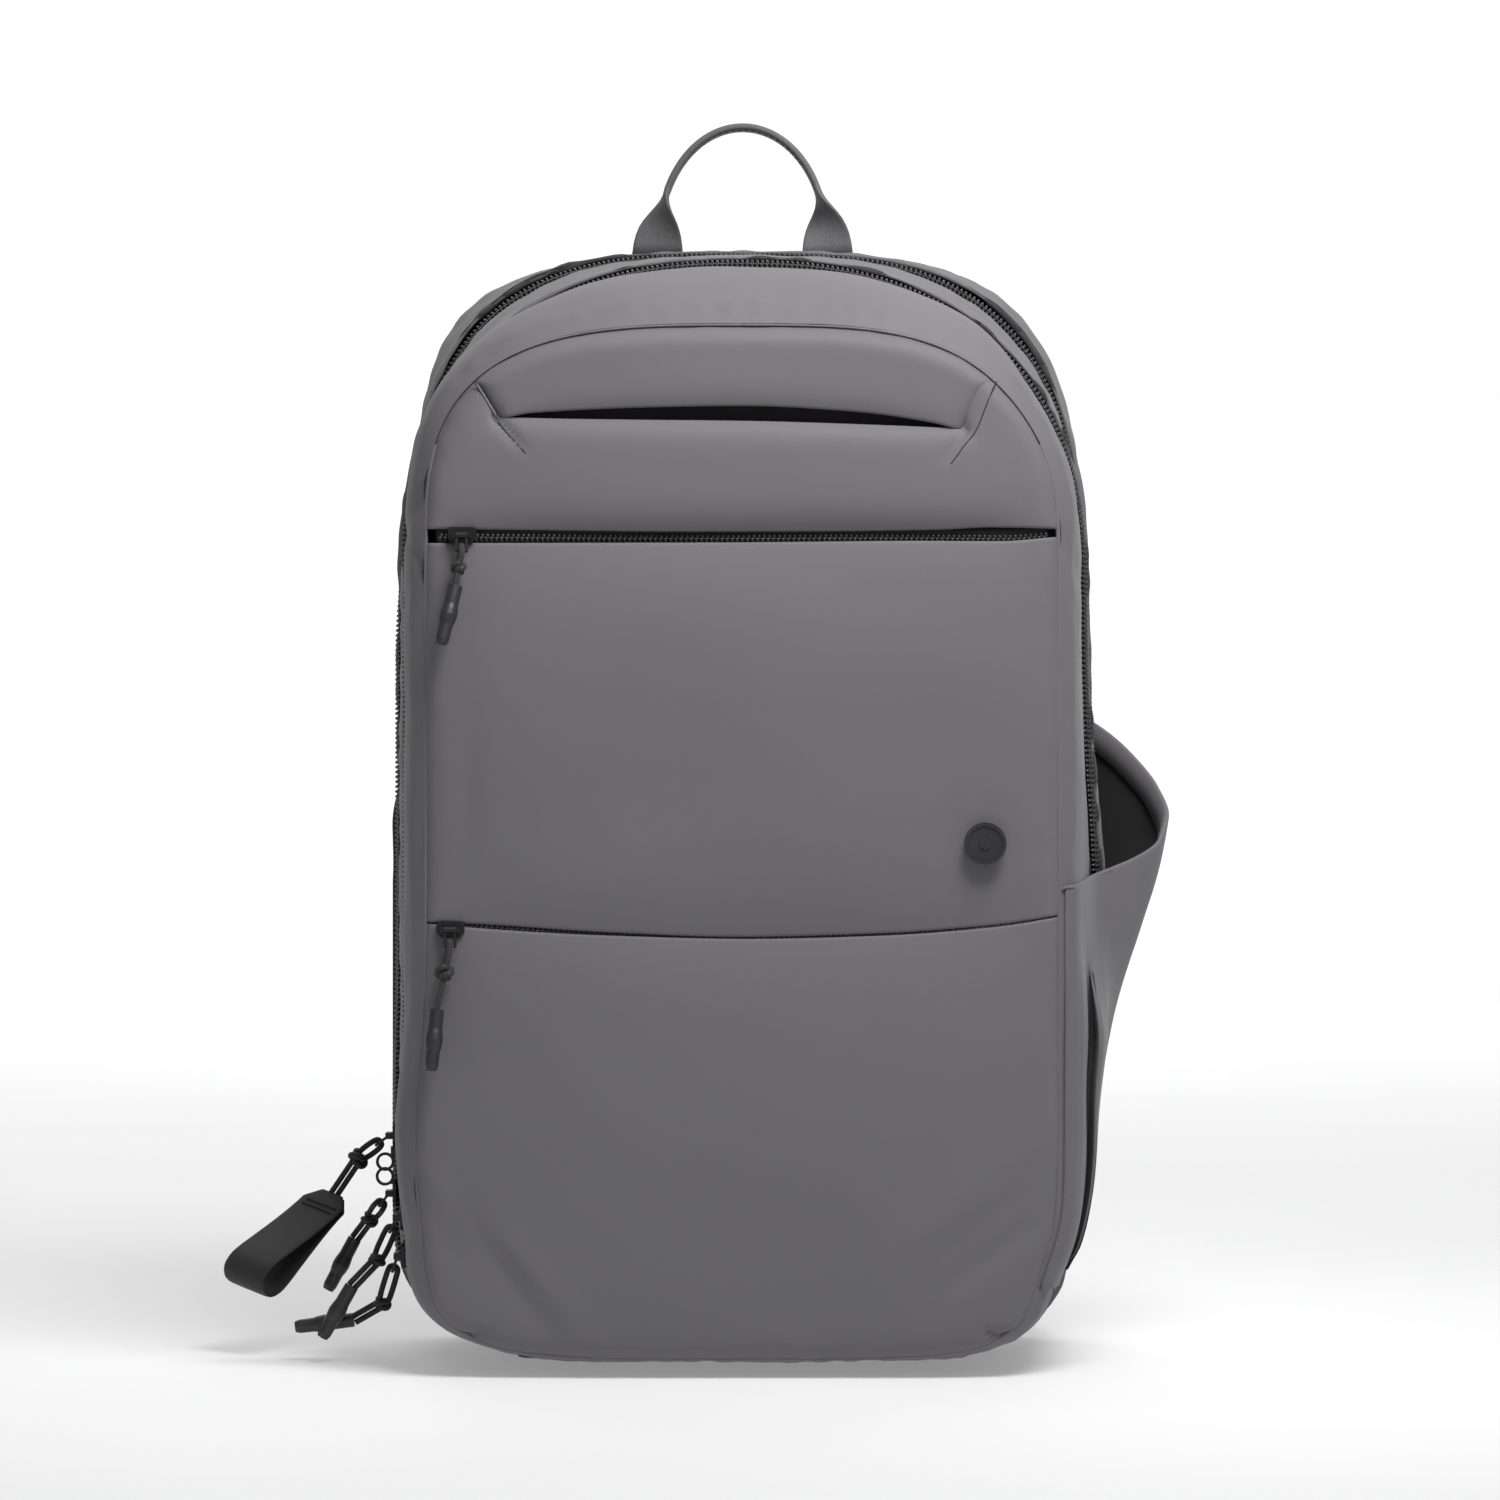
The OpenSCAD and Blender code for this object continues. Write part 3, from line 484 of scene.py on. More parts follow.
# Each puller: its pivot, its turn about z, and how it hangs: swing out from the wall, distance of its knot
# from the pivot, bend out at the knot, distance of the cord's ends, bend out at the end piece, lean along
# the pin, drift along the pin, lean of the end piece
PULLERS = {
    "upper": ((-120, -94.5, 358), 90, (12, 14, 0, 22.5, 0, 9, 0, 4)),
    "lower": ((-125, -94.5, 189), 90, (10, 18, 0, 35, 0, 11, 0, -6)),
    "rear_a": ((-159.5, 25, 92), 0, (54, 17, -20, 37, 11, 0, 0, -31)),
    "rear_b": ((-159.499, 25, 66), 0, (37, 15, 0, 27, -9, 0, 9, 0)),
    "main_a": ((-152.490, -28, 60), 0, (24, 20, 20, 36, -14, 0, -7, 0)),
    "main_b": ((-152.091, -28, 43), 0, (17, 22, 43, 37, 23, 0, 2, 0)),
}


def rotate(p, axis, degrees):
    """Points turned about an axis: 0, 1 or 2 for x, y or z."""
    a, p = math.radians(degrees), np.array(p, float)
    i, j = (axis + 1) % 3, (axis + 2) % 3
    one, two = p[..., i].copy(), p[..., j].copy()
    p[..., i] = one * math.cos(a) - two * math.sin(a)
    p[..., j] = one * math.sin(a) + two * math.cos(a)
    return p


def hung(p, hang):
    """A point of a cord drawn straight down, moved to how that cord hangs."""
    p = np.asarray(p, float)
    knot, bar = np.array([0, 0, -hang[1]]), np.array([0, 0, BAR_Z])
    if p[2] < knot[2]:
        p = knot + rotate(p - knot, 1, hang[2])
    if p[2] < bar[2]:
        p = bar + rotate(p - bar, 0, hang[5])
    return p


def placed(p, pivot, turn, swing):
    """From a puller's own frame to the pack's."""
    return np.asarray(pivot) + rotate(rotate(p, 1, swing), 2, turn)


def at_cord_end(p, hang):
    """From the frame of what hangs on a cord's ends to its puller's frame."""
    p = rotate(rotate(p, 0, hang[7]), 1, hang[4]) + [0, hang[6], hang[1] - hang[3]]
    p = rotate(p, 1, hang[2]) + [0, 0, -BAR_Z - hang[1]]
    return rotate(p, 0, hang[5]) + [0, 0, BAR_Z]


def cord_route(hang):
    k, e = -hang[1], -hang[3]

    def strand(side):
        rows = [(STRAND_X, 1, 0, e), (STRAND_X, 1, 0, e + 4), (STRAND_X, 0.75, 0, k - 2),
                (STRAND_X + 0.2, 0.6, 0, k), (2.2, 0.3, 0.6, k + 4.5), (WRAP, 0, 0.3, BAR_Z - 1),
                (WRAP * 0.72, 0, 0, BAR_Z + WRAP * 0.72)]
        return [[side * a, hang[6] * b + side * c, z] for a, b, c, z in rows]

    return strand(-1) + [[0, 0, BAR_Z + WRAP]] + strand(1)[::-1]


def round_tube(name, line, radius, sides=12):
    """A round tube along a line of points."""
    line = np.asarray(line, float)
    along = unit(np.gradient(line, axis=0))
    side = unit(np.cross(along[0], [0.31, 0.87, 0.2]))
    rings = []
    r = np.broadcast_to(radius, len(line))
    for point, t, size in zip(line, along, r):
        side = unit(side - np.dot(side, t) * t)
        other = np.cross(t, side)
        a = np.linspace(0, 2 * math.pi, sides, endpoint=False)
        rings.append(point + size * (np.cos(a)[:, None] * side + np.sin(a)[:, None] * other))
    return tube(name, np.array(rings))


def bound(name, line, radius, sides=8):
    """A bound edge: a roll of binding tape along a line of points."""
    dress(round_tube(name, line, radius, sides), binding, body="pack", slot="webbing")


def knot_line(centre, axis, across, size):
    """An overhand knot's line: a trefoil whose middle runs round an axis."""
    t = np.linspace(0, 2 * math.pi, 60)
    depth = np.cross(axis, across)
    radius = size * (0.62 + 0.32 * np.cos(3 * t))
    a = np.outer(radius * np.cos(2 * t), across) + np.outer(radius * np.sin(2 * t) * 0.8, depth)
    return centre + a + np.outer(0.42 * size * np.sin(3 * t), axis)


for key, (pivot, turn, hang) in PULLERS.items():
    body = f"{key}_puller"
    local = smooth_line(cord_route(hang), 2)
    path = np.array([placed(hung(p, hang), pivot, turn, hang[0]) for p in local])
    fine = smooth_line(path, 3)
    cord = round_tube(f"{key}_pull_cord", fine, CORD_D / 2)
    dress(cord, cord_cloth, body=body, slot="puller_cord", stands_for=(f"{key}_cord",))
    knot_at = placed(hung([0, hang[6] * 0.6, -hang[1] - 0.5], hang), pivot, turn, hang[0])
    above = placed(hung([0, hang[6] * 0.3, -hang[1] + 4], hang), pivot, turn, hang[0])
    axis = unit(knot_at - above)
    across = unit(placed([1, 0, 0], pivot, turn, hang[0]) - placed([0, 0, 0], pivot, turn, hang[0]))
    across = unit(across - np.dot(across, axis) * axis)
    size, thick = BIG_KNOT if key in ("rear_a", "lower") else SMALL_KNOT
    knot = round_tube(f"{key}_knot", knot_line(knot_at, axis, across, size), thick, 10)
    dress(knot, cord_cloth, body=body, slot="puller_cord")

# ---------------------------------------------------------------- gussets


def hem(y, back):
    """Depth and inset of the rows that roll a gusset's edge under: back is 1 where it goes on towards +Y."""
    rows = [(2.6, 1.9), (0.8, 1.7), (0.1, 1.0), (0.0, 0.4), (0.4, 0.05)]
    rows = [(y + back * a, b) for a, b in rows]
    return rows if back > 0 else rows[::-1]


def rings(rows):
    return np.stack([ring(y, inset) for y, inset in rows])


def rough_up(p, amount, wavelength, seed, away=None, reach=1.0):
    """Moves a surface out and in by soft noise, fading away from the rows of an edge."""
    noise = Ripple(seed, wavelength)(p)
    fade = 1.0 if away is None else np.exp(-np.abs(away) / reach)
    return p + outward(p) * (amount * noise * fade)[..., None]


def between_edges(a, b, n):
    """n depths from a to b, closer together at the ends."""
    t = np.linspace(0, 1, n)
    t = t - 0.09 * np.sin(2 * math.pi * t)
    return a + (b - a) * t


def crease(p, x, z, angle, length, width, depth):
    """How deep a soft fold is at each point of p, for a fold through (x, z) seen from the front."""
    a = math.radians(angle)
    dx, dz = p[..., 0] - x, p[..., 2] - z
    along, off = dx * math.cos(a) + dz * math.sin(a), -dx * math.sin(a) + dz * math.cos(a)
    return depth * np.exp(-((along / length) ** 2) - (off / width) ** 2)


# Front gusset, from the seam round the face to the main zip
ys = between_edges(-87.0, -32.0, 26)
rows = [(-84.6, 3.6), (-86.6, 2.0), (-87.6, 1.0)] + [(y, 2.6 * math.exp((y + 32) / 5)) for y in ys]
rows += [(y, inset + 2.4) for y, inset in hem(-31.9, -1)[1:]]
p = rings(rows)
depth = np.array([r[0] for r in rows])[:, None] * np.ones(p.shape[1])
loose = smoothstep((depth + 87) / 5)
p = rough_up(p, 0.5 * loose, 11, 3, depth + 84, 9)
p = rough_up(p, 0.25, 9, 4, depth + 31, 6)
p = rough_up(p, 0.8 * loose, 55, 5)
side = np.abs(p[..., 0]) > 100
for x, z, slope, span, width, deep in (
    (-140, 372, 62, 16, 2.2, 1.3), (-141, 350, 118, 13, 2.0, 1.1), (-142, 338, 58, 12, 2.0, 0.9),
    (140, 352, 118, 20, 3.0, 0.9), (-146, 150, 84, 50, 4.0, 0.7), (-143, 60, 70, 22, 3.0, 0.9),
):
    deep_here = crease(p, x, z, slope, span, width, deep) * side * (p[..., 1] > -87.5)
    p = p - outward(p) * deep_here[..., None]
low_part = smoothstep((196 - p[..., 2]) / 40) * smoothstep((p[..., 2] - 30) / 12)
dent = np.exp(-(((p[..., 1] + 62) / 9) ** 2)) * low_part
p[..., 0] -= 4.0 * dent * (p[..., 0] > 100)
fold(sewn(grid("front_gusset", settle(p), closed=True), 1.3, stands_for=("front_tub", "front_shell")))

# Middle gusset between the two long zips
ys = between_edges(-24.0, 21.0, 18)
rows = [(y, inset - 2.1) for y, inset in hem(-24.1, 1)[:4]]
rows += [(y, -0.8 * math.sin(math.pi * (y + 24) / 45) - 2.0 * math.exp((-24 - y) / 8)
          + 2.4 * math.exp((y - 21) / 6)) for y in ys]
rows += [(y, inset + 2.4) for y, inset in hem(21.1, -1)[1:]]
p = rings(rows)
p = rough_up(p, 0.5, 13, 6)
p = rough_up(p, 0.8, 60, 7)
sewn(grid("mid_gusset_cloth", settle(p), closed=True), 1.3, "pack", ("mid_gusset",))

# Rear gusset and the back panel, joined by a bound seam
ys = between_edges(29.0, 82.0, 24)
rows = [(y, inset - 2.1) for y, inset in hem(28.9, 1)[:4]] + [(y, -2.1 * math.exp((29 - y) / 7)) for y in ys]
rows += [(83.4, 0.6), (84.0, 1.6), (83.4, 2.8), (81.8, 3.6)]
p = rings(rows)
p = rough_up(p, 0.5, 15, 8)
p = rough_up(p, 1.0, 70, 9)
sewn(grid("rear_gusset", settle(p), closed=True), 1.4, "pack", ("rear_shell",))


def corner_points(y, inset):
    """The outline at depth y cut at its four corners, as the edges of a Coons patch."""
    r = ring(y, inset)[:, [0, 2]]
    a = N_UP * 0.47
    top_right, low_right = int(a), int(N_UP + N_LOW * 0.46)
    top_left, low_left = len(r) - top_right, len(r) - low_right
    loop = np.concatenate([r, r])
    right = loop[top_right:low_right + 1][::-1]
    bottom = loop[low_right:low_left + 1][::-1]
    left = loop[low_left:top_left + 1]
    top = loop[top_left:len(r) + top_right + 1]
    return bottom, top, left, right


def coons(bottom, top, left, right, u, v):
    """A grid in (x, z) inside four edge lines: rows up at v, columns to the right at u."""
    b, t, l, r = resample(bottom, u), resample(top, u), resample(left, v), resample(right, v)
    u, v = u[None, :, None], v[:, None, None]
    flat = (1 - v) * b[None] + v * t[None] + (1 - u) * l[:, None] + u * r[:, None]
    return flat - ((1 - u) * (1 - v) * b[0] + u * (1 - v) * b[-1] + (1 - u) * v * t[0] + u * v * t[-1])


def spaced(length, step):
    """Shares of a length, close together near its ends."""
    start = np.array([0.0, 0.5, 1.1, 1.9, 3.0, 4.4, 6.2, 8.5])
    end = length - start[::-1]
    n = max(2, int(round((end[0] - start[-1]) / step)))
    middle = np.linspace(start[-1], end[0], n + 1)[1:-1]
    return np.concatenate([start, middle, end]) / length


def lifted(xz, y):
    return np.stack([xz[..., 0], np.broadcast_to(y, xz.shape[:-1]), xz[..., 1]], -1)


u, v = spaced(270, 6), spaced(470, 7)
xz = coons(*corner_points(BACK_Y, 2.2), u, v)
crown = (1 - np.abs(2 * u - 1) ** 6)[None] * (1 - np.abs(2 * v - 1) ** 8)[:, None]
p = settle(lifted(xz, 82.6 + 1.4 * np.clip(crown * 6, 0, 1)))[:, ::-1]
sewn(grid("back_panel", p, uv=p[..., [0, 2]]), 1.4, "pack")
line = settle(ring(84.1, 1.9))
bound("back_piping", np.concatenate([line, line[:1]]), 1.5, 10)

# The walls below the ends of the two zips
for name, y in (("main", MAIN_Y), ("rear", REAR_Y)):
    p = rings([(y + d, 0.9 - 0.5 * math.cos(d / 5 * math.pi / 2)) for d in np.linspace(-5, 5, 9)])
    low = p[0, :, 2] < ZIP_END_Z + 3
    p = rough_up(p, 0.2, 14, 10)[:, low]
    sewn(grid(f"{name}_zip_foot", settle(p)), 1.2, "pack")

# ---------------------------------------------------------------- long zips


def zip_line(y, inset):
    """A long zip's line at depth y, from its low left end over the top to its low right end."""
    r = ring(y, inset)
    half = N_UP + N_LOW
    r = np.concatenate([r[half:], r[:half]])
    return r[r[:, 2] > ZIP_END_Z - 1.5]


def tooth_block(across, along, out):
    """One coil loop: a rounded bar that runs across, with a nose. Its corners in (across, along, out)."""
    section = ((-1, 0.0), (-1, 0.6), (-0.45, 1.0), (0.45, 1.0), (1, 0.6), (1, 0.0))
    corners = [(a * across, s * along / 2 * k, o * out * (0.75 + 0.25 * k))
               for a, k in ((0.0, 0.8), (0.25, 1.0), (0.82, 1.0), (1.0, 0.55)) for s, o in section]
    return np.array(corners), [*quads(3, 6, 6), range(5, -1, -1), range(18, 24)]


def teeth(name, line, out, across, pitch, phase, width=2.3, high=1.15):
    """A row of coil loops along a line. out and across are unit directions at each of its points."""
    run = run_of(line)
    at = np.arange(phase * pitch, run[-1], pitch)
    where, o, w = read(line, run, at), unit(read(out, run, at)), unit(read(across, run, at))
    t = np.cross(o, w)
    block, faces = tooth_block(width, pitch * 0.74, high)
    skew = block[:, 1] + 0.22 * block[:, 0]
    points = (where[:, None] + w[:, None] * (block[None, :, :1] - 0.35) + t[:, None] * skew[None, :, None]
              + o[:, None] * block[None, :, 2:])
    flip = np.linalg.det(np.stack([w[0], t[0], o[0]])) < 0
    n = len(block)
    faces = [f[::-1] if flip else f for f in faces]
    every = [tuple(k * n + corner for corner in f) for k in range(len(where)) for f in faces]
    return add_mesh(name, points.reshape(-1, 3), every, np.tile(block[:, :2], (len(where), 1)))


def outward_of(line):
    along = unit(np.gradient(line, axis=0))
    return unit(np.cross(along, [0, 1, 0]))


def nudged(line):
    """A long zip's line moved a little: about 1 mm in over the top, 0.8 mm out on the straight left part
    where the sliders run, and up to 2 mm in and back under the bottle pocket. The direction is square to the
    line and to (y - z, z - x, x - y), so it isn't the outline's normal, and it shifts the depth as well."""
    run = smoothstep(-line[:, 0] / 60) * (1 - smoothstep((line[:, 2] - 310) / 50))
    under = smoothstep(line[:, 0] / 60) * (1 - smoothstep((line[:, 2] - 160) / 40))
    way = unit(np.cross(np.roll(line, -1, 1) - np.roll(line, 1, 1), np.gradient(line, axis=0)))
    return line + way * (1.0 - 1.9 * run - 3.4 * under)[:, None]


PITCH = 2.2
# How far each row of tape lies behind the zip's depth, and how far inside the outline
TAPE_AT, TAPE_IN = (-5.4, -2.8, -0.12, 0.12, 2.8, 5.4), (5.8, 3.6, 1.3, 1.1, 0.0, 2.0)
ZIP_NODES = {"main_front": "main_zip_flap_tape", "main_back": "main_zip", "rear_back": "rear_zip"}


def zip_tape(y, depths):
    """A zip tape's grid, one row for each distance behind the zip's depth y."""
    most = len(zip_line(y, 0.0))
    rows = []
    for d in depths:
        line = nudged(zip_line(y, float(np.interp(d, TAPE_AT, TAPE_IN))))[:most]
        rows.append(np.column_stack([line[:, 0], np.full(len(line), y + d), line[:, 2]]))
    least = min(len(row) for row in rows)
    return np.stack([row[:least] for row in rows])


for name, y in (("main", MAIN_Y), ("rear", REAR_Y)):
    line = settle(nudged(zip_line(y, 0.5)))
    out = unit(outward_of(line) + [0, -0.9, 0])
    across = unit(np.cross(np.gradient(line, axis=0), out)) * -1
    for part, sign, phase in (("front", -1, 0.5), ("back", 1, 1.0)):
        strip = grid(f"{name}_zip_tape_{part}", settle(zip_tape(y, sorted(sign * d for d in TAPE_AT[3:]))))
        node = ZIP_NODES.get(f"{name}_{part}")
        dress(strip, tape, slot="zip_tape", stands_for=(node,) if node else ())
        thicken(strip, 0.7)
        way = across * np.sign(across[:, 1:2]) * sign
        row = teeth(f"{name}_zip_coil_{part}", line, out, way, PITCH, phase, width=2.9, high=1.7)
        dress(row, coil, slot="zip_metal")
        for piece in (strip, row):
            if (name, part) == ("main", "front"):
                fold(piece)
            else:
                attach(piece, "pack")

# ---------------------------------------------------------------- front face

seam = ring(FACE_Y)[:, [0, 2]]
seam_run = run_of(np.concatenate([seam, seam[:1]]))


def seam_part(a, b):
    """The face's seam clockwise from the point nearest a to the point nearest b."""
    loop = np.concatenate([seam, seam, seam])
    run = np.concatenate([seam_run[:-1], seam_run[:-1] + seam_run[-1], seam_run[:-1] + 2 * seam_run[-1]])

    def place(point):
        d = np.linalg.norm(seam - point, axis=1)
        i = int(d.argmin())
        before, after = seam[i - 1], seam[(i + 1) % len(seam)]
        best = seam_run[i]
        for other, step in ((before, -1), (after, 1)):
            edge = other - seam[i]
            share = np.dot(np.asarray(point) - seam[i], edge) / np.dot(edge, edge)
            if share > 0:
                best = seam_run[i] + step * share * np.linalg.norm(edge)
        return best % seam_run[-1]

    start, end = place(a), place(b)
    if end <= start:
        end += seam_run[-1]
    return read(loop, run, np.linspace(start, end, 200))


def level_line(table):
    x = np.linspace(table[0][0], table[-1][0], 120)
    return np.stack([x, hermite(x, table)], 1)


def edge_distances(xz):
    """Distance in mm of each grid point from the left, right, bottom and top edges, along the grid."""
    across = np.linalg.norm(np.diff(xz, axis=1), axis=2)
    run = np.concatenate([np.zeros((len(xz), 1)), np.cumsum(across, 1)], 1)
    up = np.linalg.norm(np.diff(xz, axis=0), axis=2)
    rise = np.concatenate([np.zeros((1, xz.shape[1])), np.cumsum(up, 0)], 0)
    return run, run[:, -1:] - run, rise, rise[-1:] - rise


SINK_REACH, SINK_DEPTH = 5.0, 1.7


def sink(d):
    """A seam's edge: how far the cloth lies under its full height at distance d."""
    return (1 - np.clip(d / SINK_REACH, 0, 1)) ** 3 * SINK_DEPTH


# The rows of a folded edge: how far each lies past the edge, and how far back
ROLL = [(0.75, 0.25), (1.15, 0.95), (0.95, 1.75), (-0.4, 2.3), (-4.0, 2.5)]


def rolled(p, at_top):
    """Adds the rows of a folded edge to a face panel's grid: on past its edge, back and under."""
    edge, inner = (p[-1], p[-3]) if at_top else (p[0], p[2])
    way = edge - inner
    way[:, 1] = 0
    way = unit(way)
    more = np.stack([edge + way * a + [0, b, 0] for a, b in ROLL])
    return np.concatenate([p, more]) if at_top else np.concatenate([more[::-1], p])


face_noise, face_pucker = Ripple(21, 95), Ripple(22, 13)


def face_panel(name, edges, step, crown, seams, rolls, base=2.6, extra=None):
    """A crowned panel of the front face. seams and rolls name the edges that are sewn down or folded."""
    bottom, top, left, right = edges
    width = np.linalg.norm(np.diff(bottom, axis=0), axis=1).sum()
    height = np.linalg.norm(np.diff(left, axis=0), axis=1).sum()
    u, v = spaced(width, step), spaced(height, step) if height > 40 else np.linspace(0, 1, 22)
    xz = coons(bottom, top, left, right, u, v)
    run, back_run, rise, back_rise = edge_distances(xz)
    distance = {"left": run, "right": back_run, "bottom": rise, "top": back_rise}
    full = (crown - base) * (1 - np.abs(2 * u - 1) ** 4)[None]
    high = base + full * (1 - np.abs(2 * v - 1) ** 4)[:, None]
    flat = lifted(xz, 0.0)
    near = np.full(xz.shape[:2], 1e9)
    for edge in seams:
        near = np.minimum(near, distance[edge])
    high = high * (1 - np.clip(1 - near / 9, 0, 1) ** 2.4 * 0.85) - sink(near)
    high = high + 0.75 * face_noise(flat) * np.clip(near / 25, 0, 1)
    high = high + 0.35 * face_pucker(flat) * np.exp(-near / 5)
    if extra is not None:
        high = high + extra(flat)
    p = lifted(xz, FACE_Y - high)
    uv = xz
    if "top" in rolls:
        p = rolled(p, True)
        uv = np.concatenate([uv, uv[-1:] + [[[0, 1.0 * k]] for k in range(1, len(ROLL) + 1)]])
    if "bottom" in rolls:
        p = rolled(p, False)
        uv = np.concatenate([uv[:1] - [[[0, 1.0 * k]] for k in range(len(ROLL), 0, -1)], uv])
    return grid(name, settle(p), uv=uv)


def groove(p, a, b, width, deep):
    """A sewn dart from a to b: its depth at each point, running out towards b."""
    a, b = np.array(a, float), np.array(b, float)
    q = p[..., [0, 2]] - a
    way = b - a
    share = (q @ way) / (way @ way)
    off = np.linalg.norm(q - np.clip(share, 0, 1)[..., None] * way, axis=-1)
    strength = np.interp(share, [-0.3, 0.0, 0.5, 1.0, 1.2], [0, 1, 1, 0.25, 0])
    return deep * strength * np.exp(-((off / width) ** 2))


# The panels' edges that aren't on the seam, as heights z at each x
SIDE = 137
LOW_TOP = [(-SIDE, 189.2), (-110, 186.9), (-60, 184.4), (0, 183.2), (60, 184.9), (110, 189.0), (SIDE, 193.4)]
UP_FOOT = [(-SIDE, 193.6), (-110, 192.4), (-60, 189.0), (0, 186.7), (60, 188.0), (110, 191.5), (SIDE, 195.3)]
UP_TOP = [(-SIDE, 354.6), (-60, 354.2), (0, 354.0), (70, 354.2), (112, 353.8), (SIDE, 355.6)]
WELT_FOOT = [(-SIDE, 361.4), (-100, 361.0), (-20, 360.2), (40, 360.4), (85, 361.0), (108, 362.0),
             (SIDE, 361.4)]
SLIT_LEFT, SLIT_RIGHT = (-105.5, 408.5), (100.5, 403.3)
DART_LEFT, DART_RIGHT = (-115.5, 424.5), (115.5, 424.0)
SLIT_UP = [SLIT_LEFT, (-90, 411.6), (-40, 414.0), (0, 414.6), (50, 412.2), (86, 407.4), SLIT_RIGHT]
SLIT_LOW = [SLIT_LEFT, (-80, 407.6), (-40, 406.8), (0, 406.2), (50, 404.9), SLIT_RIGHT]


def on_seam(side, z):
    """The seam's point at height z, on the left (-1) or the right (1)."""
    half = seam[seam[:, 0] * side > 60]
    return half[np.abs(half[:, 1] - z).argmin()]


def low_folds(p):
    """The lower pocket's soft folds towards its right foot, and its darts."""
    h = -groove(p, (-125, 14.6), (-106, 16.2), 1.6, 2.4) - groove(p, (122, 14.8), (104, 16.8), 1.6, 2.4)
    h -= crease(p, 106, 62, 42, 40, 9, 1.1) - crease(p, 98, 74, 42, 44, 10, 0.8)
    h += crease(p, 0, 96, 4, 90, 34, 1.6)
    h += crease(p, -118, 62, 122, 34, 6, 1.5) - crease(p, -104, 46, 128, 40, 7, 1.8)
    h += crease(p, -88, 40, 128, 30, 7, 1.2) - crease(p, 112, 50, 42, 34, 6, 1.5)
    h -= crease(p, -112, 44, 128, 30, 9, 0.9)
    return h


low_left, low_right = (-127.5, 26), (127.5, 26)
edges = (seam_part(low_right, low_left)[::-1], level_line(LOW_TOP),
         seam_part(low_left, on_seam(-1, 190.0)), seam_part(on_seam(1, 193.6), low_right)[::-1])
panel = face_panel("lower_pocket_front", edges, 2.9, 8.0, ("left", "right", "bottom"), ("top",),
                   extra=low_folds)
sewn(panel, 1.2, "pack", ("lower_pocket",))


def up_folds(p):
    h = 0.9 * np.exp(-(((p[..., 2] - 300) / 40) ** 2)) - crease(p, -60, 236, 10, 60, 22, 0.8)
    return h - crease(p, 70, 330, -14, 50, 16, 0.6) - crease(p, -118, 250, 88, 40, 6, 0.5)


edges = (level_line(UP_FOOT), level_line(UP_TOP),
         seam_part(on_seam(-1, 193.6), on_seam(-1, 354.6)),
         seam_part(on_seam(1, 355.6), on_seam(1, 195.3))[::-1])
panel = face_panel("upper_pocket_front", edges, 2.9, 7.6, ("left", "right"), ("top", "bottom"),
                   extra=up_folds)
fold(sewn(panel, 1.2, stands_for=("upper_pocket", "upper_pocket_base", "front_fold")))


def dart_folds(p):
    h = -groove(p, SLIT_LEFT, (-93, 393.5), 1.5, 2.3) - groove(p, SLIT_RIGHT, (89, 389), 1.5, 1.7)
    h -= crease(p, -128, 402, 60, 22, 5, 0.8)
    return h


welt_top = np.concatenate([
    resample([DART_LEFT, SLIT_LEFT], 20)[:-1], level_line(SLIT_LOW)[:-1],
    resample([SLIT_RIGHT, (108.0, 424.2)], 20)])
right = seam_part(DART_RIGHT, on_seam(1, 361.4))[::-1]
edges = (level_line(WELT_FOOT), np.concatenate([welt_top[:-1], right[-1:]]),
         seam_part(on_seam(-1, 361.4), DART_LEFT), right)
panel = face_panel("welt_panel_front", edges, 2.7, 7.2, ("left", "right"), ("top", "bottom"), base=3.2,
                   extra=dart_folds)
sewn(panel, 1.2, "front_flap", ("welt_panel",))

arch = seam_part(DART_LEFT, DART_RIGHT)
edges = (level_line(SLIT_UP), arch, resample([SLIT_LEFT, arch[0]], 20), resample([SLIT_RIGHT, arch[-1]], 20))
panel = face_panel("hood_panel_front", edges, 2.6, 5.6, ("left", "right", "top"), ("bottom",), base=4.0)
sewn(panel, 1.2, "front_flap", ("hood_panel",))


def face_height(xz, objects, default):
    """The front surface's depth in mm under each point (x, z), from the panels' own meshes."""
    graph = bpy.context.evaluated_depsgraph_get()
    found = np.full(len(xz), default)
    for k, (x, z) in enumerate(xz):
        for obj in objects:
            start = Vector((x * MM, -0.2, z * MM))
            hit, where, _, _ = obj.ray_cast(start, Vector((0, 1, 0)), depsgraph=graph)
            if hit:
                found[k] = min(found[k], where.y / MM)
    return found


line = settle(ring(-87.35, 0.75))
roll = round_tube("face_seam", np.concatenate([line, line[:1]]) + [0, 0.5, 0], 0.95, 8)
fold(dress(roll, shell, slot="shell_fabric"))
# Over the top, a thin dark line lies along the seam: painted shade of the seam's groove
line = line[line[:, 2] > 395]
line = line[np.argsort(line[:, 0])] + [0, -0.45, 0]
dress(round_tube("face_seam_groove", line, 0.30, 8), thread_and_shade_black, body="front_flap", slot="shell_fabric")
bpy.context.view_layer.update()
upper_panels = [bpy.data.objects[name] for name in ("hood_panel_front", "welt_panel_front")]
# Thin dark lines from the slit's ends down the darts: painted shade of the slit and the dart folds
for name, points in (
    ("left", [arch[0], (-111.5, 418.5), SLIT_LEFT, (-101.2, 402.5), (-92.6, 393.0)]),
    ("right", [arch[-1] - [6.4, 0], (105.4, 415.5), SLIT_RIGHT, (95.4, 396.5), (89.5, 388.5)]),
):
    line = smooth_line(points, 8)
    y = face_height(line, upper_panels, -91.0)
    y = np.convolve(np.pad(y, 2, mode="edge"), np.ones(5) / 5, mode="valid")
    dart = round_tube(f"dart_seam_{name}", np.stack([line[:, 0], y + 0.12, line[:, 1]], 1), 0.34, 8)
    dress(dart, thread_and_shade_black, body="front_flap", slot="shell_fabric")

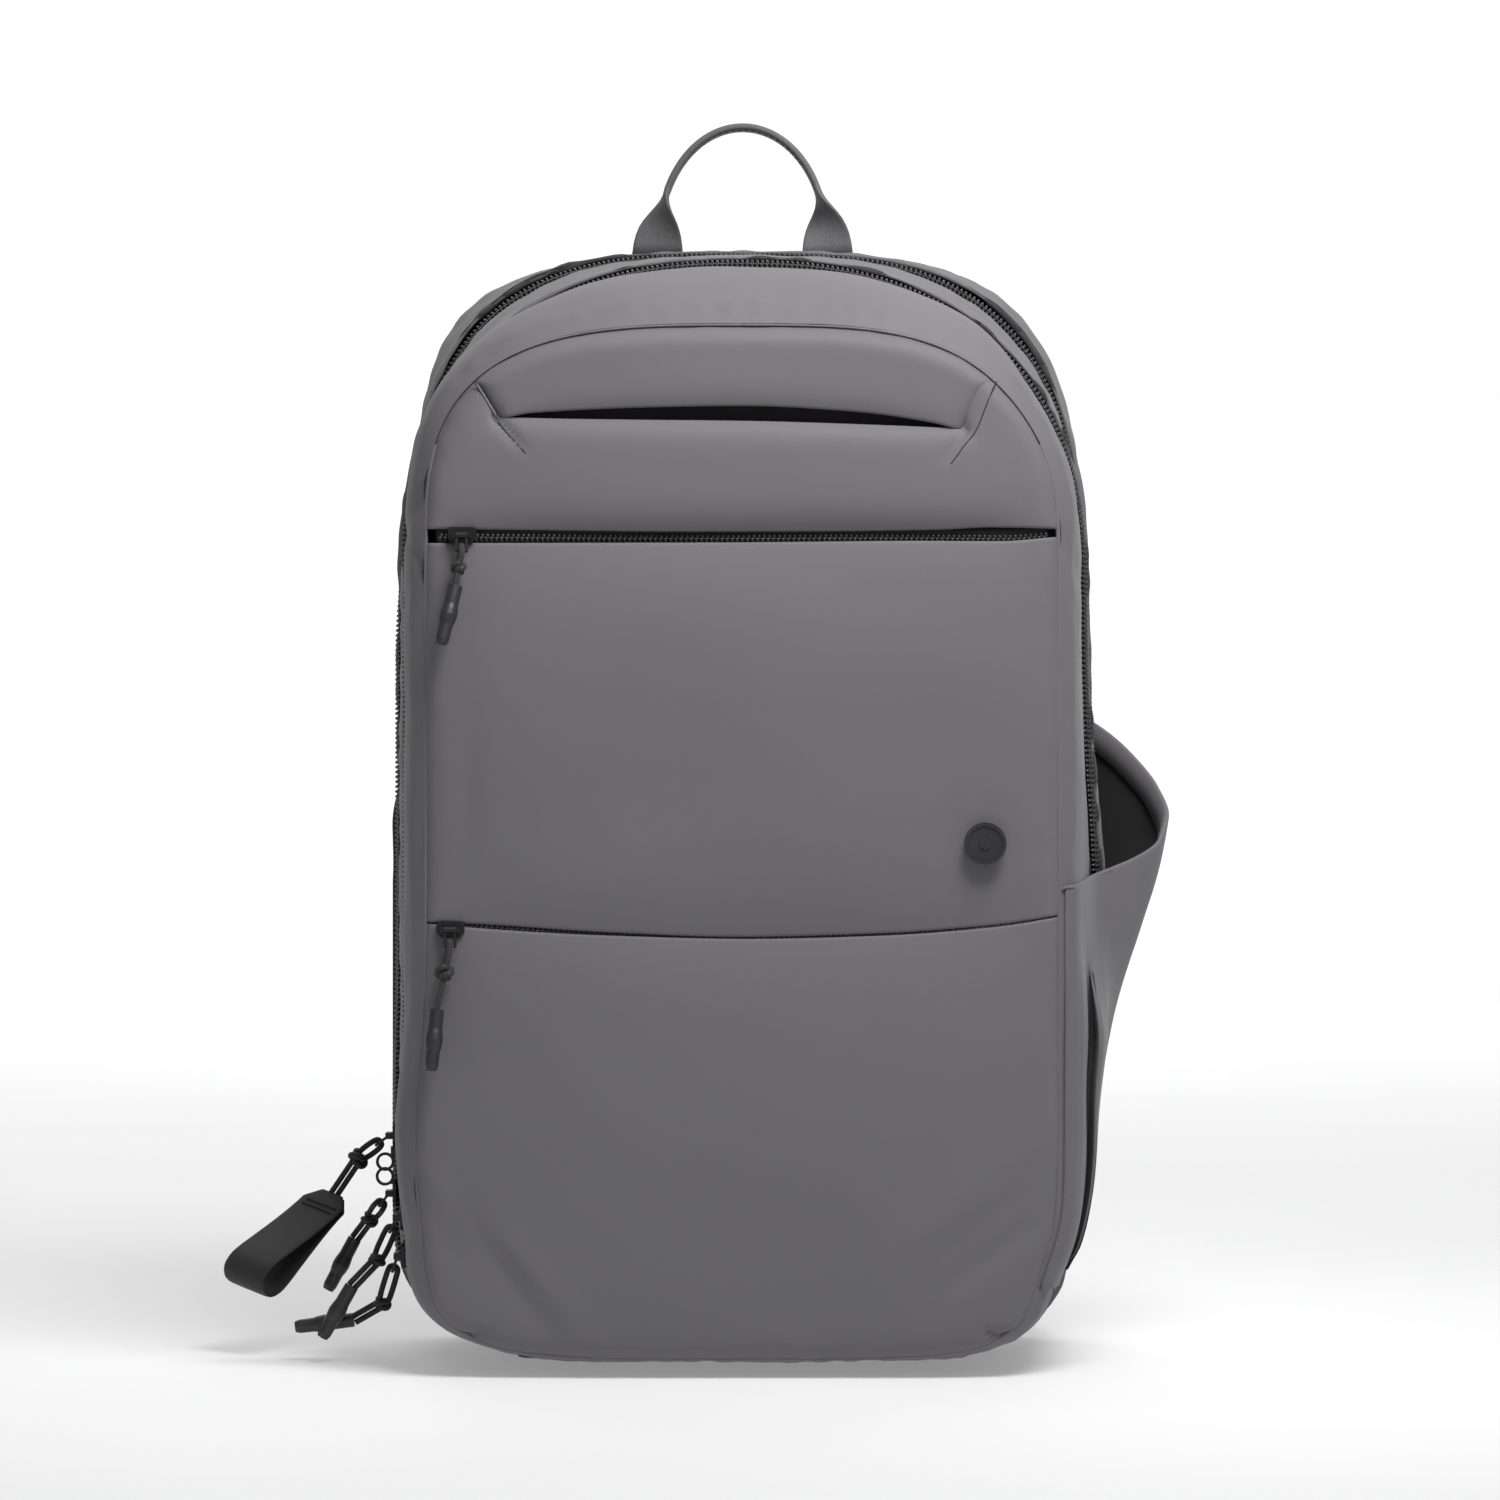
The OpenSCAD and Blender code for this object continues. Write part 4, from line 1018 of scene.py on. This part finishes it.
# The lining behind the whole face, seen through the slit and the zips' slots, and from inside
u, v = spaced(265, 6), spaced(430, 6)
xz = coons(*corner_points(FACE_Y, 4.0), u, v)
p = settle(lifted(xz, -84.6))
panel = dress(grid("face_lining", p, uv=xz), lining, slot="lining_fabric")
thicken(panel, 0.8)
fold(panel)

# ---------------------------------------------------------------- pocket zips


def pocket_zip(name, z_of, body, node):
    x = np.linspace(-131, 131, 150)
    line = lifted(np.stack([x, z_of(x)], 1), -88.15)
    rows = np.stack([line + [0, 0.0, d] for d in (-5.5, -2.6, 2.6, 5.5)])
    strip = grid(f"{name}_zip_tape", settle(rows))
    thicken(dress(strip, tape, body=body, slot="zip_tape", stands_for=(node,)), 0.6)
    out = np.tile([0.0, -1.0, 0.0], (len(x), 1))
    for part, sign in (("low", -1), ("high", 1)):
        row = teeth(f"{name}_zip_coil_{part}", settle(line), out, np.tile([0.0, 0.0, sign], (len(x), 1)),
                    PITCH, 0.5 if sign < 0 else 1.0, width=2.1, high=1.2)
        dress(row, coil, body=body, slot="zip_metal")


def lower_zip_z(x):
    return (hermite(x, LOW_TOP) + hermite(x, UP_FOOT)) / 2 + 0.3


pocket_zip("upper", lambda x: hermite(x, UP_TOP) + 2.7, "front_flap", "upper_pocket_zip")
pocket_zip("lower", lower_zip_z, "pack", "lower_pocket_zip")

# ---------------------------------------------------------------- side pockets


def side_x(y, z):
    """How far the side wall stands from the middle, without the zips' bulge."""
    low = hermite(y, LOW)
    drop = np.clip(CORNER_Z - z, 0, None) / (CORNER_Z - low)
    return hermite(y, HALF_W) * (1 - np.clip(drop, 0, 0.999) ** CORNER_ROUND) ** (1 / CORNER_ROUND)


def settled_side(y, z):
    x = side_x(y, z)
    return settle(np.stack([x, y, z], -1))[..., 0]


# The x and z of the bottle pocket's mouth at each depth y
LIP_X = [(-86.6, 139.2), (-82, 144.2), (-66, 148.6), (-40, 155.2), (-15, 173.6), (5, 187.6), (15, 191),
         (25, 192.6), (40, 189), (55, 179), (67, 167.6), (76, 158), (80.5, 150.5)]
LIP_Z = [(-86.6, 206.6), (-66, 208.2), (-40, 210.5), (-15, 216.5), (5, 224.6), (15, 231.5), (25, 238),
         (40, 249), (55, 263), (67, 274), (76, 280), (80.5, 281.5)]
POCKET_LOW = 34.0
# The share of its bulge that each share of its height has
HANG = [(0, 0), (0.28, 0.10), (0.43, 0.20), (0.58, 0.33), (0.70, 0.47), (0.78, 0.61), (0.88, 0.82), (1, 1)]
# Its pleat, doubled back like an S: where each column goes, and how far out
PLEAT_Y = [(-86.6, -86.6), (-80, -80), (-76, -76), (-72, -68), (-67, -56), (-62, -46.5), (-58, -44),
           (-54, -51), (-49, -62), (-46, -64.5), (-43, -62.5), (-38, -53), (-32, -40), (-26, -27),
           (-14, -14), (0, 0), (80.5, 80.5)]
PLEAT_X = [(-86.6, 0), (-80, 0.6), (-76, 1.8), (-72, 1.6), (-67, 0.8), (-62, 0.8), (-58, 2.6), (-54, 4.4),
           (-49, 5.0), (-46, 6.4), (-43, 7.7), (-38, 8.2), (-32, 7.6), (-26, 5.0), (-14, 1.5), (0, 0),
           (80.5, 0)]
ys = np.concatenate([np.linspace(-86.6, -78, 7), np.linspace(-76.8, -24, 44), np.linspace(-22, 76, 38),
                     [78, 79.5, 80.5]])
share = np.linspace(0, 1, 56)
yy, ss = np.meshgrid(ys, share)
lip_x, lip_z = hermite(yy, LIP_X), hermite(yy, LIP_Z)
zz = POCKET_LOW + (lip_z - POCKET_LOW) * ss
pleat = smoothstep((0.90 - ss) / 0.34) * smoothstep(ss / 0.10)
moved = yy + pleat * (hermite(yy, PLEAT_Y) - yy)
wall_x = settled_side(moved, zz) + 1.6
bulge = lip_x - (settled_side(yy, lip_z) + 1.6)
pocket_x = wall_x + bulge * hermite(ss, HANG)
pocket_x += pleat * hermite(yy, PLEAT_X) * np.interp(zz, [40, 68, 99, 140], [0.3, 0.5, 0.7, 1.0])
pocket_x += 1.6 * pleat * np.sin((yy + 30) / 15 + 2.4 * ss) * np.exp(-(((yy - 10) / 40) ** 2))
pocket_x -= 1.5 * np.exp(-(((ss - 0.86) / 0.07) ** 2) - (((yy - 20) / 16) ** 2))
p = np.stack([pocket_x, moved, zz], -1)
pocket_noise = Ripple(31, 42)
p[..., 0] += 0.5 * pocket_noise(p) * smoothstep(np.minimum(ss, 1 - ss) / 0.2)
edge = p[-1]
room = np.clip((lip_x[-1] - wall_x[-1]) / 8, 0.15, 1)
more = [edge + np.stack([-a * np.maximum(room, 0.7), 0 * room, b * np.where(b < 0, room ** 2, 1)], 1)
        for a, b in ((0.35, 0.9), (1.3, 1.2), (2.1, 0.6), (3.0, -1.5), (5.4, -9.0))]
p = np.concatenate([p, np.stack(more)])
sewn(grid("bottle_pocket_cloth", p), 1.5, "pack", ("bottle_pocket",))

ys = np.linspace(80.5, 41.5, 24)
yy, ss = np.meshgrid(ys, np.linspace(0, 1, 44))
t = (80.5 - yy) / 39
lip_z = 281 - 74 * t ** 0.62
zz = POCKET_LOW + (lip_z - POCKET_LOW) * ss
hang = ss ** 1.7 * np.sin(math.pi * np.clip(1 - t, 0, 1) ** 1.5) ** 1.3
p = np.stack([-(side_x(yy, zz) + 1.5 + 1.8 * hang), yy, zz], -1)
sewn(grid("flat_pocket_cloth", p), 1.3, "pack", ("flat_pocket",))
rim = resample(np.concatenate([p[:, -1], p[-1, ::-1][1:]]), 90)
bound("flat_pocket_binding", rim + [-0.7, 0, 0], 1.9, 10)

# ---------------------------------------------------------------- closed pads


def pillow(name, rim, place, thick, edge=8.0, rows=46, channels=(), channel_deep=0.0, back=0.0, foot=0.0):
    """A closed pad inside rim, the four edge lines of a patch. place maps (a, b, height) to the pack.
    It is thick in its middle, foot thick at its edge, and pulls in at each channel, a height b.
    back is how far its other side stands out."""
    bottom, top, left, right = rim
    even = np.linspace(0, 1, rows)
    u = even - 0.1 * np.sin(2 * math.pi * even)
    ab = coons(bottom, top, left, right, u, u)
    near = np.min(edge_distances(ab), axis=0)
    high = foot + (thick - foot) * np.sqrt(np.clip(1 - (1 - np.clip(near / edge, 0, 1)) ** 2, 0, 1))
    for b in channels:
        high = high - channel_deep * np.exp(-(((ab[..., 1] - b) / 3.0) ** 2)) * np.clip(near / edge, 0, 1)
    top_side = place(ab[..., 0], ab[..., 1], high)
    low_side = place(ab[..., 0], ab[..., 1], -back * np.clip(near / edge, 0, 1))
    n = rows * rows
    points = np.concatenate([top_side.reshape(-1, 3), low_side.reshape(-1, 3)])
    uv = np.concatenate([ab.reshape(-1, 2), ab.reshape(-1, 2)])
    quad = quads(rows - 1, rows - 1, rows)
    k = np.arange(rows - 1)
    border = np.concatenate([k, k * rows + rows - 1, (n - 1) - k, (rows - 1 - k) * rows])
    after = np.roll(border, -1)
    walls = np.stack([border, border + n, after + n, after], 1)
    faces = np.concatenate([quad, quad[:, ::-1] + n, walls])
    return normals_out(add_mesh(name, points, faces, uv), weld=0.02)


def rounded(cx, cy, w, h, r):
    """The four edge lines of a rounded rectangle."""

    def corner(sx, sy):
        x, y = cx + sx * (w / 2 - r), cy + sy * (h / 2 - r)
        return lambda a: (x + r * math.cos(math.radians(a)), y + r * math.sin(math.radians(a)))

    bl, br, tl, tr = corner(-1, -1), corner(1, -1), corner(-1, 1), corner(1, 1)
    arc = np.linspace(0, 45, 6)
    bottom = [bl(225 + a) for a in arc] + [br(270 + a) for a in arc]
    top = [tl(135 - a) for a in arc] + [tr(90 - a) for a in arc]
    left = [bl(225 - a) for a in arc] + [tl(180 - a) for a in arc]
    right = [br(315 + a) for a in arc] + [tr(a) for a in arc]
    return tuple(np.array(line) for line in (bottom, top, left, right))


def evaluated(obj):
    """Replaces an object's mesh by what its modifiers make of it."""
    graph = bpy.context.evaluated_depsgraph_get()
    mesh = bpy.data.meshes.new_from_object(obj.evaluated_get(graph))
    obj.modifiers.clear()
    obj.data = mesh
    mesh.polygons.foreach_set("use_smooth", [True] * len(mesh.polygons))
    return obj


def coordinates(obj):
    co = np.zeros(len(obj.data.vertices) * 3)
    obj.data.vertices.foreach_get("co", co)
    return co.reshape(-1, 3)


PUFF_PRESSURE, PUFF_FRAMES = 4.0, 20


def puffed(obj, voxel, cap):
    """Swells a closed pad by cloth pressure, each point moving at most cap mm."""
    modify(obj, "REMESH", mode="VOXEL", voxel_size=voxel * MM)
    evaluated(obj)
    modify(obj, "SMOOTH", factor=0.5, iterations=4)
    evaluated(obj)
    before = coordinates(obj)
    cloth = modify(obj, "CLOTH")
    cloth.settings.use_pressure = True
    cloth.settings.uniform_pressure_force = PUFF_PRESSURE
    cloth.settings.effector_weights.gravity = 0
    cloth.settings.tension_stiffness = 18
    cloth.settings.bending_stiffness = 1.2
    cloth.point_cache.frame_start, cloth.point_cache.frame_end = 1, PUFF_FRAMES
    for at in range(1, PUFF_FRAMES + 1):
        scene.frame_set(at)
    evaluated(obj)
    moved = coordinates(obj) - before
    size = np.linalg.norm(moved, axis=1, keepdims=True)
    moved *= np.minimum(1, cap * MM / np.maximum(size, 1e-9))
    obj.data.vertices.foreach_set("co", (before + moved).ravel())
    scene.frame_set(1)
    modify(obj, "SUBSURF", levels=1, render_levels=1)
    return evaluated(obj)


inner = pillow("padded_divider", corner_points(14, 5.0), lambda a, b, h: np.stack([a, 14 - h, b], -1), 3.7, 9,
               rows=54, channels=(90, 165, 240, 315, 390), channel_deep=1.2, back=3.7)
dress(inner, lining, body="pack", slot="lining_fabric", stands_for=("divider",))
base = pillow("base_cloth", rounded(0, 6, 200, 112, 12), lambda a, b, h: np.stack([a, b, 2.1 - h], -1),
              2.1, 3, rows=40, foot=0.3)
dress(base, shell, body="pack", slot="shell_fabric", stands_for=("base_panel",))

for name, cx, cz, w, h, channels in (
    ("back_pad_left", -58, 287.5, 94, 273, (205, 287, 370)),
    ("back_pad_right", 58, 287.5, 94, 273, (205, 287, 370)),
    ("lumbar_pad_cloth", 0, 97, 210, 88, ()),
):
    pad = pillow(name, rounded(cx, cz, w, h, 16), lambda a, b, h: np.stack([a, 84.4 + h, b], -1), 8.2, 16,
                 rows=40, foot=1.6)
    puffed(pad, 4.5, 3.0)
    co = coordinates(pad) / MM
    out = smoothstep((co[:, 1] - 85.5) / 4)
    for b in channels:
        co[:, 1] -= 3.2 * out * np.exp(-(((co[:, 2] - b) / 3.4) ** 2))
    if name.startswith("lumbar"):
        for x in (-52, 52):
            co[:, 1] -= 3.0 * out * np.exp(-(((co[:, 0] - x) / 3.4) ** 2))
    co[:, 1] = np.clip(co[:, 1], 84.2, 95.6)
    pad.data.vertices.foreach_set("co", (co * MM).ravel())
    pad.data.update()
    node = {"lumbar_pad_cloth": ("lumbar_pad",), "back_pad_left": ("back_pads",)}.get(name, ())
    dress(pad, pad_mesh, body="pack", slot="spacer_mesh", stands_for=node)
    bottom, top, left, right = rounded(cx, cz, w + 1, h + 1, 17)
    rim = np.concatenate([bottom[:-1], right[1:], top[::-1][1:], left[::-1][1:], bottom[:1]])
    bound(f"{name}_binding", lifted(resample(rim, 140), 85.4), 1.5)

# ---------------------------------------------------------------- webbing


def fill(values, shape):
    """A value, or one for each point, as an array of floats of that shape."""
    return np.broadcast_to(np.asarray(values, float), shape)


def ribbon(name, line, side, width, thick, sides=16):
    """A flat woven strap along a line. side is its width's direction and width may vary along it."""
    line = np.asarray(line, float)
    along = unit(np.gradient(line, axis=0))
    side = fill(side, line.shape)
    side = unit(side - (side * along).sum(1, keepdims=True) * along)
    face = np.cross(side, along)
    a = np.linspace(0, 2 * math.pi, sides, endpoint=False)
    c, s = np.cos(a), np.sin(a)
    cx = np.sign(c) * np.abs(c) ** 0.32
    cy = np.sign(s) * np.abs(s) ** 0.8
    w, t = (fill(value, len(line))[:, None, None] / 2 for value in (width, thick))
    p = line[:, None] + side[:, None] * cx[None, :, None] * w + face[:, None] * cy[None, :, None] * t
    return tube(name, p)


WEB_W, WEB_T = 20, 1.4


def web(name, line, side, width=WEB_W, thick=WEB_T, body="pack", stands_for=()):
    """A strap of plain black webbing."""
    return dress(ribbon(name, line, side, width, thick), webbing, body=body, slot="webbing",
                 stands_for=stands_for)


def stitches(name, line, out, pitch=3.0, length=2.1, radius=0.26, material=None, body="pack"):
    """A row of sewn stitches along a line, lying on the cloth that faces out."""
    line = np.asarray(line, float)
    run = run_of(line)
    at = np.arange(pitch / 2, run[-1], pitch)
    where, along = read(line, run, at), unit(read(np.gradient(line, axis=0), run, at))
    out = unit(read(fill(out, line.shape), run, at))
    side = np.cross(out, along)
    block = []
    for x, r in ((-1, 0.35), (-0.8, 0.9), (0, 1.1), (0.8, 0.9), (1, 0.35)):
        for k in range(6):
            a = k * math.pi / 3
            rise = (1 - abs(x)) * radius
            block.append((x * length / 2, r * radius * math.cos(a), r * radius * math.sin(a) + rise))
    faces = [*quads(4, 6, 6), range(5, -1, -1), range(24, 30)]
    block = np.array(block)
    p = (where[:, None] + along[:, None] * block[None, :, :1] + side[:, None] * block[None, :, 1:2]
         + out[:, None] * block[None, :, 2:])
    n = len(block)
    every = [tuple(k * n + f for f in face) for k in range(len(where)) for face in faces]
    obj = add_mesh(name, p.reshape(-1, 3), every, np.tile(block[:, :2], (len(where), 1)))
    return dress(obj, material or thread_and_shade_black, body=body, slot="webbing")


# Grab handle: flat feet that turn on edge and fold in half along the grip
a = np.radians(np.linspace(0, 180, 73))
rise = 59.0
sin_a = np.clip(np.sin(a), 0, 1)
line = lifted(np.stack([-39 * np.cos(a) * (1 - 0.08 * sin_a), 492.4 + rise * sin_a ** 0.75], 1), 62.0)
near = np.clip(1 - sin_a * 2.4, 0, 1)
turn = np.radians(90) * smoothstep(near)
along = unit(np.stack([39 * sin_a, 0 * a, rise * 0.75 * np.cos(a) + 0.01], 1))
out = np.stack([-along[:, 2], 0 * a, along[:, 0]], 1) * np.where(a < math.pi / 2, 1, -1)[:, None]
side = np.cos(turn)[:, None] * [0, 1, 0] + np.sin(turn)[:, None] * out
strap = ribbon("handle_web", line, side, 12.6 + 11 * near, 3.3 - 1.5 * near, 20)
dress(strap, handle_web, body="handle", slot="webbing", stands_for=("grab_handle",))
mid_way = slice(16, 57)
grip = line[mid_way]
normal = np.cross(side, along)[mid_way]
stitches("handle_seam", grip - side[mid_way] * 4.6 + normal * 1.62, normal, 3.0, 2.0, 0.25, stitch, "handle")

# Shoulder straps
STRAP = [(42, 87, 456), (46, 101, 425), (53, 109, 380), (62, 113, 320), (74, 112, 250), (86, 106, 178)]


def strap_frame(steps):
    """A shoulder strap's middle line, the way it faces and its width."""
    line = smooth_line(STRAP, steps)
    along = unit(np.gradient(line, axis=0))
    normal = unit(np.cross([1, 0, 0], along))
    k = np.linspace(0, 1, len(line))
    return line, -normal if normal[len(line) // 2, 1] < 0 else normal, 62 * (1 - 0.35 * k ** 3)


half = [(0, 91.5, 452), (12, 93, 452), (42, 98.5, 453), (71, 94, 452.5), (81, 86, 452)]
line = smooth_line([(-x, y, z) for x, y, z in half[:0:-1]] + half, 8)
dress(ribbon("strap_yoke", line, [0, 0, 1], 26, 3.4), shell, body="pack", slot="shell_fabric")
for name, z in (("high", 9.5), ("low", -9.5)):
    row = stitches(f"strap_yoke_stitches_{name}", line + [0, 1.75, z], [0, 1, 0])
    dress(row, stitch, body="pack", slot="shell_fabric")

for side_name, sign in (("left", -1), ("right", 1)):
    line, normal, width = strap_frame(8)
    u = np.linspace(-1, 1, 15)
    flat = line[:, None] + np.array([1.0, 0, 0]) * (width[:, None] / 2 * 0.96 * u[None])[..., None]
    outer, inner = (flat + normal[:, None] * deep[None, :, None]
                    for deep in (3.6 + 4.6 * (1 - np.abs(u) ** 3), np.full(len(u), 0.8)))
    loop = np.concatenate([outer, inner[:, ::-1]], 1)
    loop[..., 0] *= sign
    if sign > 0:
        loop = loop[:, ::-1]
    strap = normals_out(tube(f"shoulder_strap_{side_name}_pad", loop))
    puffed(strap, 4.5, 2.2)
    dress(strap, shell, body="pack", slot="shell_fabric", stands_for=(f"shoulder_strap_{side_name}",))
    edge_a = line + [1, 0, 0] * (width / 2)[:, None] + normal * 2.2
    edge_b = line - [1, 0, 0] * (width / 2)[:, None] + normal * 2.2
    around = np.concatenate([edge_a, resample([edge_a[-1], edge_b[-1]], 8)[1:-1], edge_b[::-1]])
    bound(f"shoulder_strap_{side_name}_binding", around * [sign, 1, 1], 3.3, 12)
    web(f"strap_web_{side_name}", (line + normal * 10.1)[20:38] * [sign, 1, 1], [1, 0, 0])

    # The loop that holds the ladder lock, and the lower webbing threaded through it
    yz = [(112.0, 190), (114.0, 182), (114.4, 176), (113.9, 171.6), (112.2, 169.4), (109.3, 168.8),
          (106.6, 169.8), (105.6, 173), (106.2, 178), (107.6, 184)]
    path = smooth_line([(sign * 87.2, y, z) for y, z in yz], 4)
    web(f"lock_loop_{side_name}", path, [1, 0, 0])
    route = [(122, 88.4, 54), (120, 92, 64), (108, 104, 88), (97, 110.4, 120), (90, 108.6, 146),
             (88.4, 105.4, 153), (88, 105.0, 160), (88, 106.4, 165.2), (88, 109.6, 166.4), (88, 113.2, 165.2),
             (88, 113.9, 162.4), (88, 112.8, 159.4), (88, 110.0, 158.2), (88, 107.6, 156.2),
             (88.2, 107.6, 152.6), (88.8, 110.4, 148.2), (89.8, 113.4, 140), (91.0, 115.2, 128),
             (92.6, 116.2, 112)]
    path = smooth_line([(sign * x, y, z) for x, y, z in route], 5)
    tilt = np.linspace(1, 0, len(path))[:, None] ** 2
    sides = unit(np.array([1.0, 0, 0]) + tilt * np.array([0, 0, sign * -0.25]))
    web(f"lower_webbing_{side_name}", path, sides, stands_for=("strap_webbings",) if sign < 0 else ())

    # The sternum strap's rail on this strap, tacked down at both ends
    yz = [(121.6, 290), (124.0, 292.4), (126.2, 296.2), (126.7, 301), (126.7, 338), (126.7, 375),
          (126.2, 379.8), (123.6, 383.6), (120.6, 386)]
    path = smooth_line([(sign * 61, y, z) for y, z in yz], 6)
    web(f"sternum_rail_{side_name}", path, [1, 0, 0], 10, stands_for=("sternum_rails",) if sign < 0 else ())

    # The anchor wing at the foot of the back
    outline = np.array([(10, -26), (10, 16), (-12, 12), (-16, -4)], float) * [sign, 1] + [sign * 128, 50]
    c = resample(np.concatenate([outline, outline[:1]]), 61)[:-1]
    c = (np.roll(c, 1, 0) + 2 * c + np.roll(c, -1, 0)) / 4
    middle = c.mean(0)
    layers = []
    for inset, y in ((0.0, 84.5), (0.0, 85.9), (0.6, 86.5), (2.0, 86.9), (9.0, 87.1)):
        q = middle + (c - middle) * (1 - inset / 22)
        layers.append(lifted(q, y))
    wing = tube(f"anchor_wing_{side_name}", np.array(layers)[:, ::-1] if sign > 0 else np.array(layers))
    dress(wing, shell, body="pack", slot="shell_fabric",
          stands_for=("strap_anchor_wings",) if sign < 0 else ())
    q = middle + (np.concatenate([c, c[:1]]) - middle) * 0.84
    stitches(f"anchor_wing_{side_name}_stitches", lifted(q, 87.05), [0, 1, 0])

# Sternum webbing
for side_name, ends in (("left", (-52.6, -22.4)), ("right", (22.4, 52.6))):
    line = [(x, 126.7, 338) for x in np.linspace(*ends, 12)]
    chest = web(f"sternum_web_{side_name}", line, [0, 0, 1], WEB_W, 1.5, "sternum_strap",
                (f"sternum_webbing_{side_name}",))
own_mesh(chest)

# The broad webbing puller, doubled over, with a sewn bar near its top
pivot, turn, hang = PULLERS["rear_a"]
half = [(0.95, -0.5), (1.0, -6), (1.3, -13), (2.6, -24), (5.0, -38), (6.8, -48), (7.1, -54), (5.0, -59.2),
        (0, -61.2)]
profile = half + [(-x, z) for x, z in half[::-1][1:]]
flat = smooth_line([(x, 0, z) for x, z in profile], 5)


def to_pack(q):
    """From the puller's own frame, in which its width runs along y, to the pack's."""
    return placed(at_cord_end(rotate(q, 2, 43), hang), pivot, turn, hang[0])


path = to_pack(flat)
wide = unit(to_pack(flat + [0, 1, 0]) - path)
taper = np.interp(flat[:, 2], [-61.2, -7, -0.5], [25.6, 25.6, 13.5])
loop = ribbon("broad_puller", path, wide, taper, 1.5, 20)
dress(loop, webbing, body="rear_a_puller", slot="webbing", stands_for=("rear_a_loop",))
for k, z in enumerate((-8.5, -11.5)):
    for face in (-1, 1):
        bar = np.array([(face * (1.95 if z > -10 else 2.1), y, z) for y in np.linspace(-10, 10, 30)])
        way = unit(to_pack([[face * 10.0, 0, z]])[0] - to_pack([[0.0, 0, z]])[0])
        name = f"broad_puller_bar_{k}_{'ab'[face > 0]}"
        stitches(name, to_pack(bar), way, 1.6, 1.3, 0.3, thread_and_shade_black, "rear_a_puller")

# ---------------------------------------------------------------- carried-over nodes


def keep_node(name, material, bevel=0.0):
    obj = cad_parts[name]
    if not obj.material_slots:
        obj.data.materials.append(material)
    for slot in obj.material_slots:
        slot.material = material
    if bevel:
        modify(obj, "BEVEL", width=bevel * MM, segments=2, limit_method="ANGLE", angle_limit=math.radians(38))


for key in PULLERS:
    keep_node(f"{key}_slider", metal, 0.35)
    keep_node(f"{key}_link", metal, 0.2)
    if key != "rear_a":
        keep_node(f"{key}_tip", rubber)
for name in ("ladder_locks", "sternum_clips", "sternum_socket", "sternum_plug"):
    keep_node(name, plastic, 0.7 if name != "sternum_clips" else 0.3)
keep_node("frame_sheet", plastic, 0.5)
keep_node("badge", badge_rubber, 0.3)

# ---------------------------------------------------------------- floor and light

n = Nodes("pale_floor")
floor_tint = n.ramp(n.noise(3, 2.0, 0.4), (0.3, (0.62, 0.62, 0.625)), (0.7, (0.64, 0.64, 0.645)))
floor_material = n.finish(floor_tint, 0.8, Emission_Color=(1, 1, 1, 1), Emission_Strength=0.24)
sweep = [(-4.5, 0.0), (2.0, 0.0), (3.0, 0.05), (3.9, 0.32), (4.6, 0.85), (5.0, 1.6), (5.2, 2.6), (5.2, 5.0)]
sweep = smooth_line([(0, y * 1000, z * 1000) for y, z in sweep], 8)
p = np.stack([sweep + [x, 0, -0.4] for x in (-5000, 0, 5000)], 1)
floor = add_mesh("floor", p.reshape(-1, 3), quads(len(sweep) - 1, 2, 3))
floor.data.materials.append(floor_material)

world = bpy.data.worlds.new("studio")
scene.world = world
world.use_nodes = True
background = world.node_tree.nodes["Background"]
background.inputs["Color"].default_value = (1, 1, 1, 1)
background.inputs["Strength"].default_value = 0.32


def area_light(name, location, target, size, watts, spread=180):
    data = bpy.data.lights.new(name, "AREA")
    data.shape = "RECTANGLE"
    data.size, data.size_y = size
    data.energy = watts
    data.spread = math.radians(spread)
    light = bpy.data.objects.new(name, data)
    light.location = location
    light.rotation_euler = (Vector(target) - Vector(location)).to_track_quat("-Z", "Y").to_euler()
    scene.collection.objects.link(light)


area_light("key", (0.26, -0.52, 1.02), (0.05, -0.1, 0.42), (0.5, 0.4), 4.7, 110)
area_light("fill", (-0.3, -2.0, 1.0), (0, 0, 0.35), (1.2, 1.2), 0.4)
area_light("rim", (1.3, 0.5, 0.9), (0.1, 0, 0.3), (0.8, 1.0), 0.35)
area_light("backdrop", (0, 2.4, 3.4), (0, 4.4, 0.5), (4.0, 1.6), 130)

scene.view_settings.view_transform = "Standard"
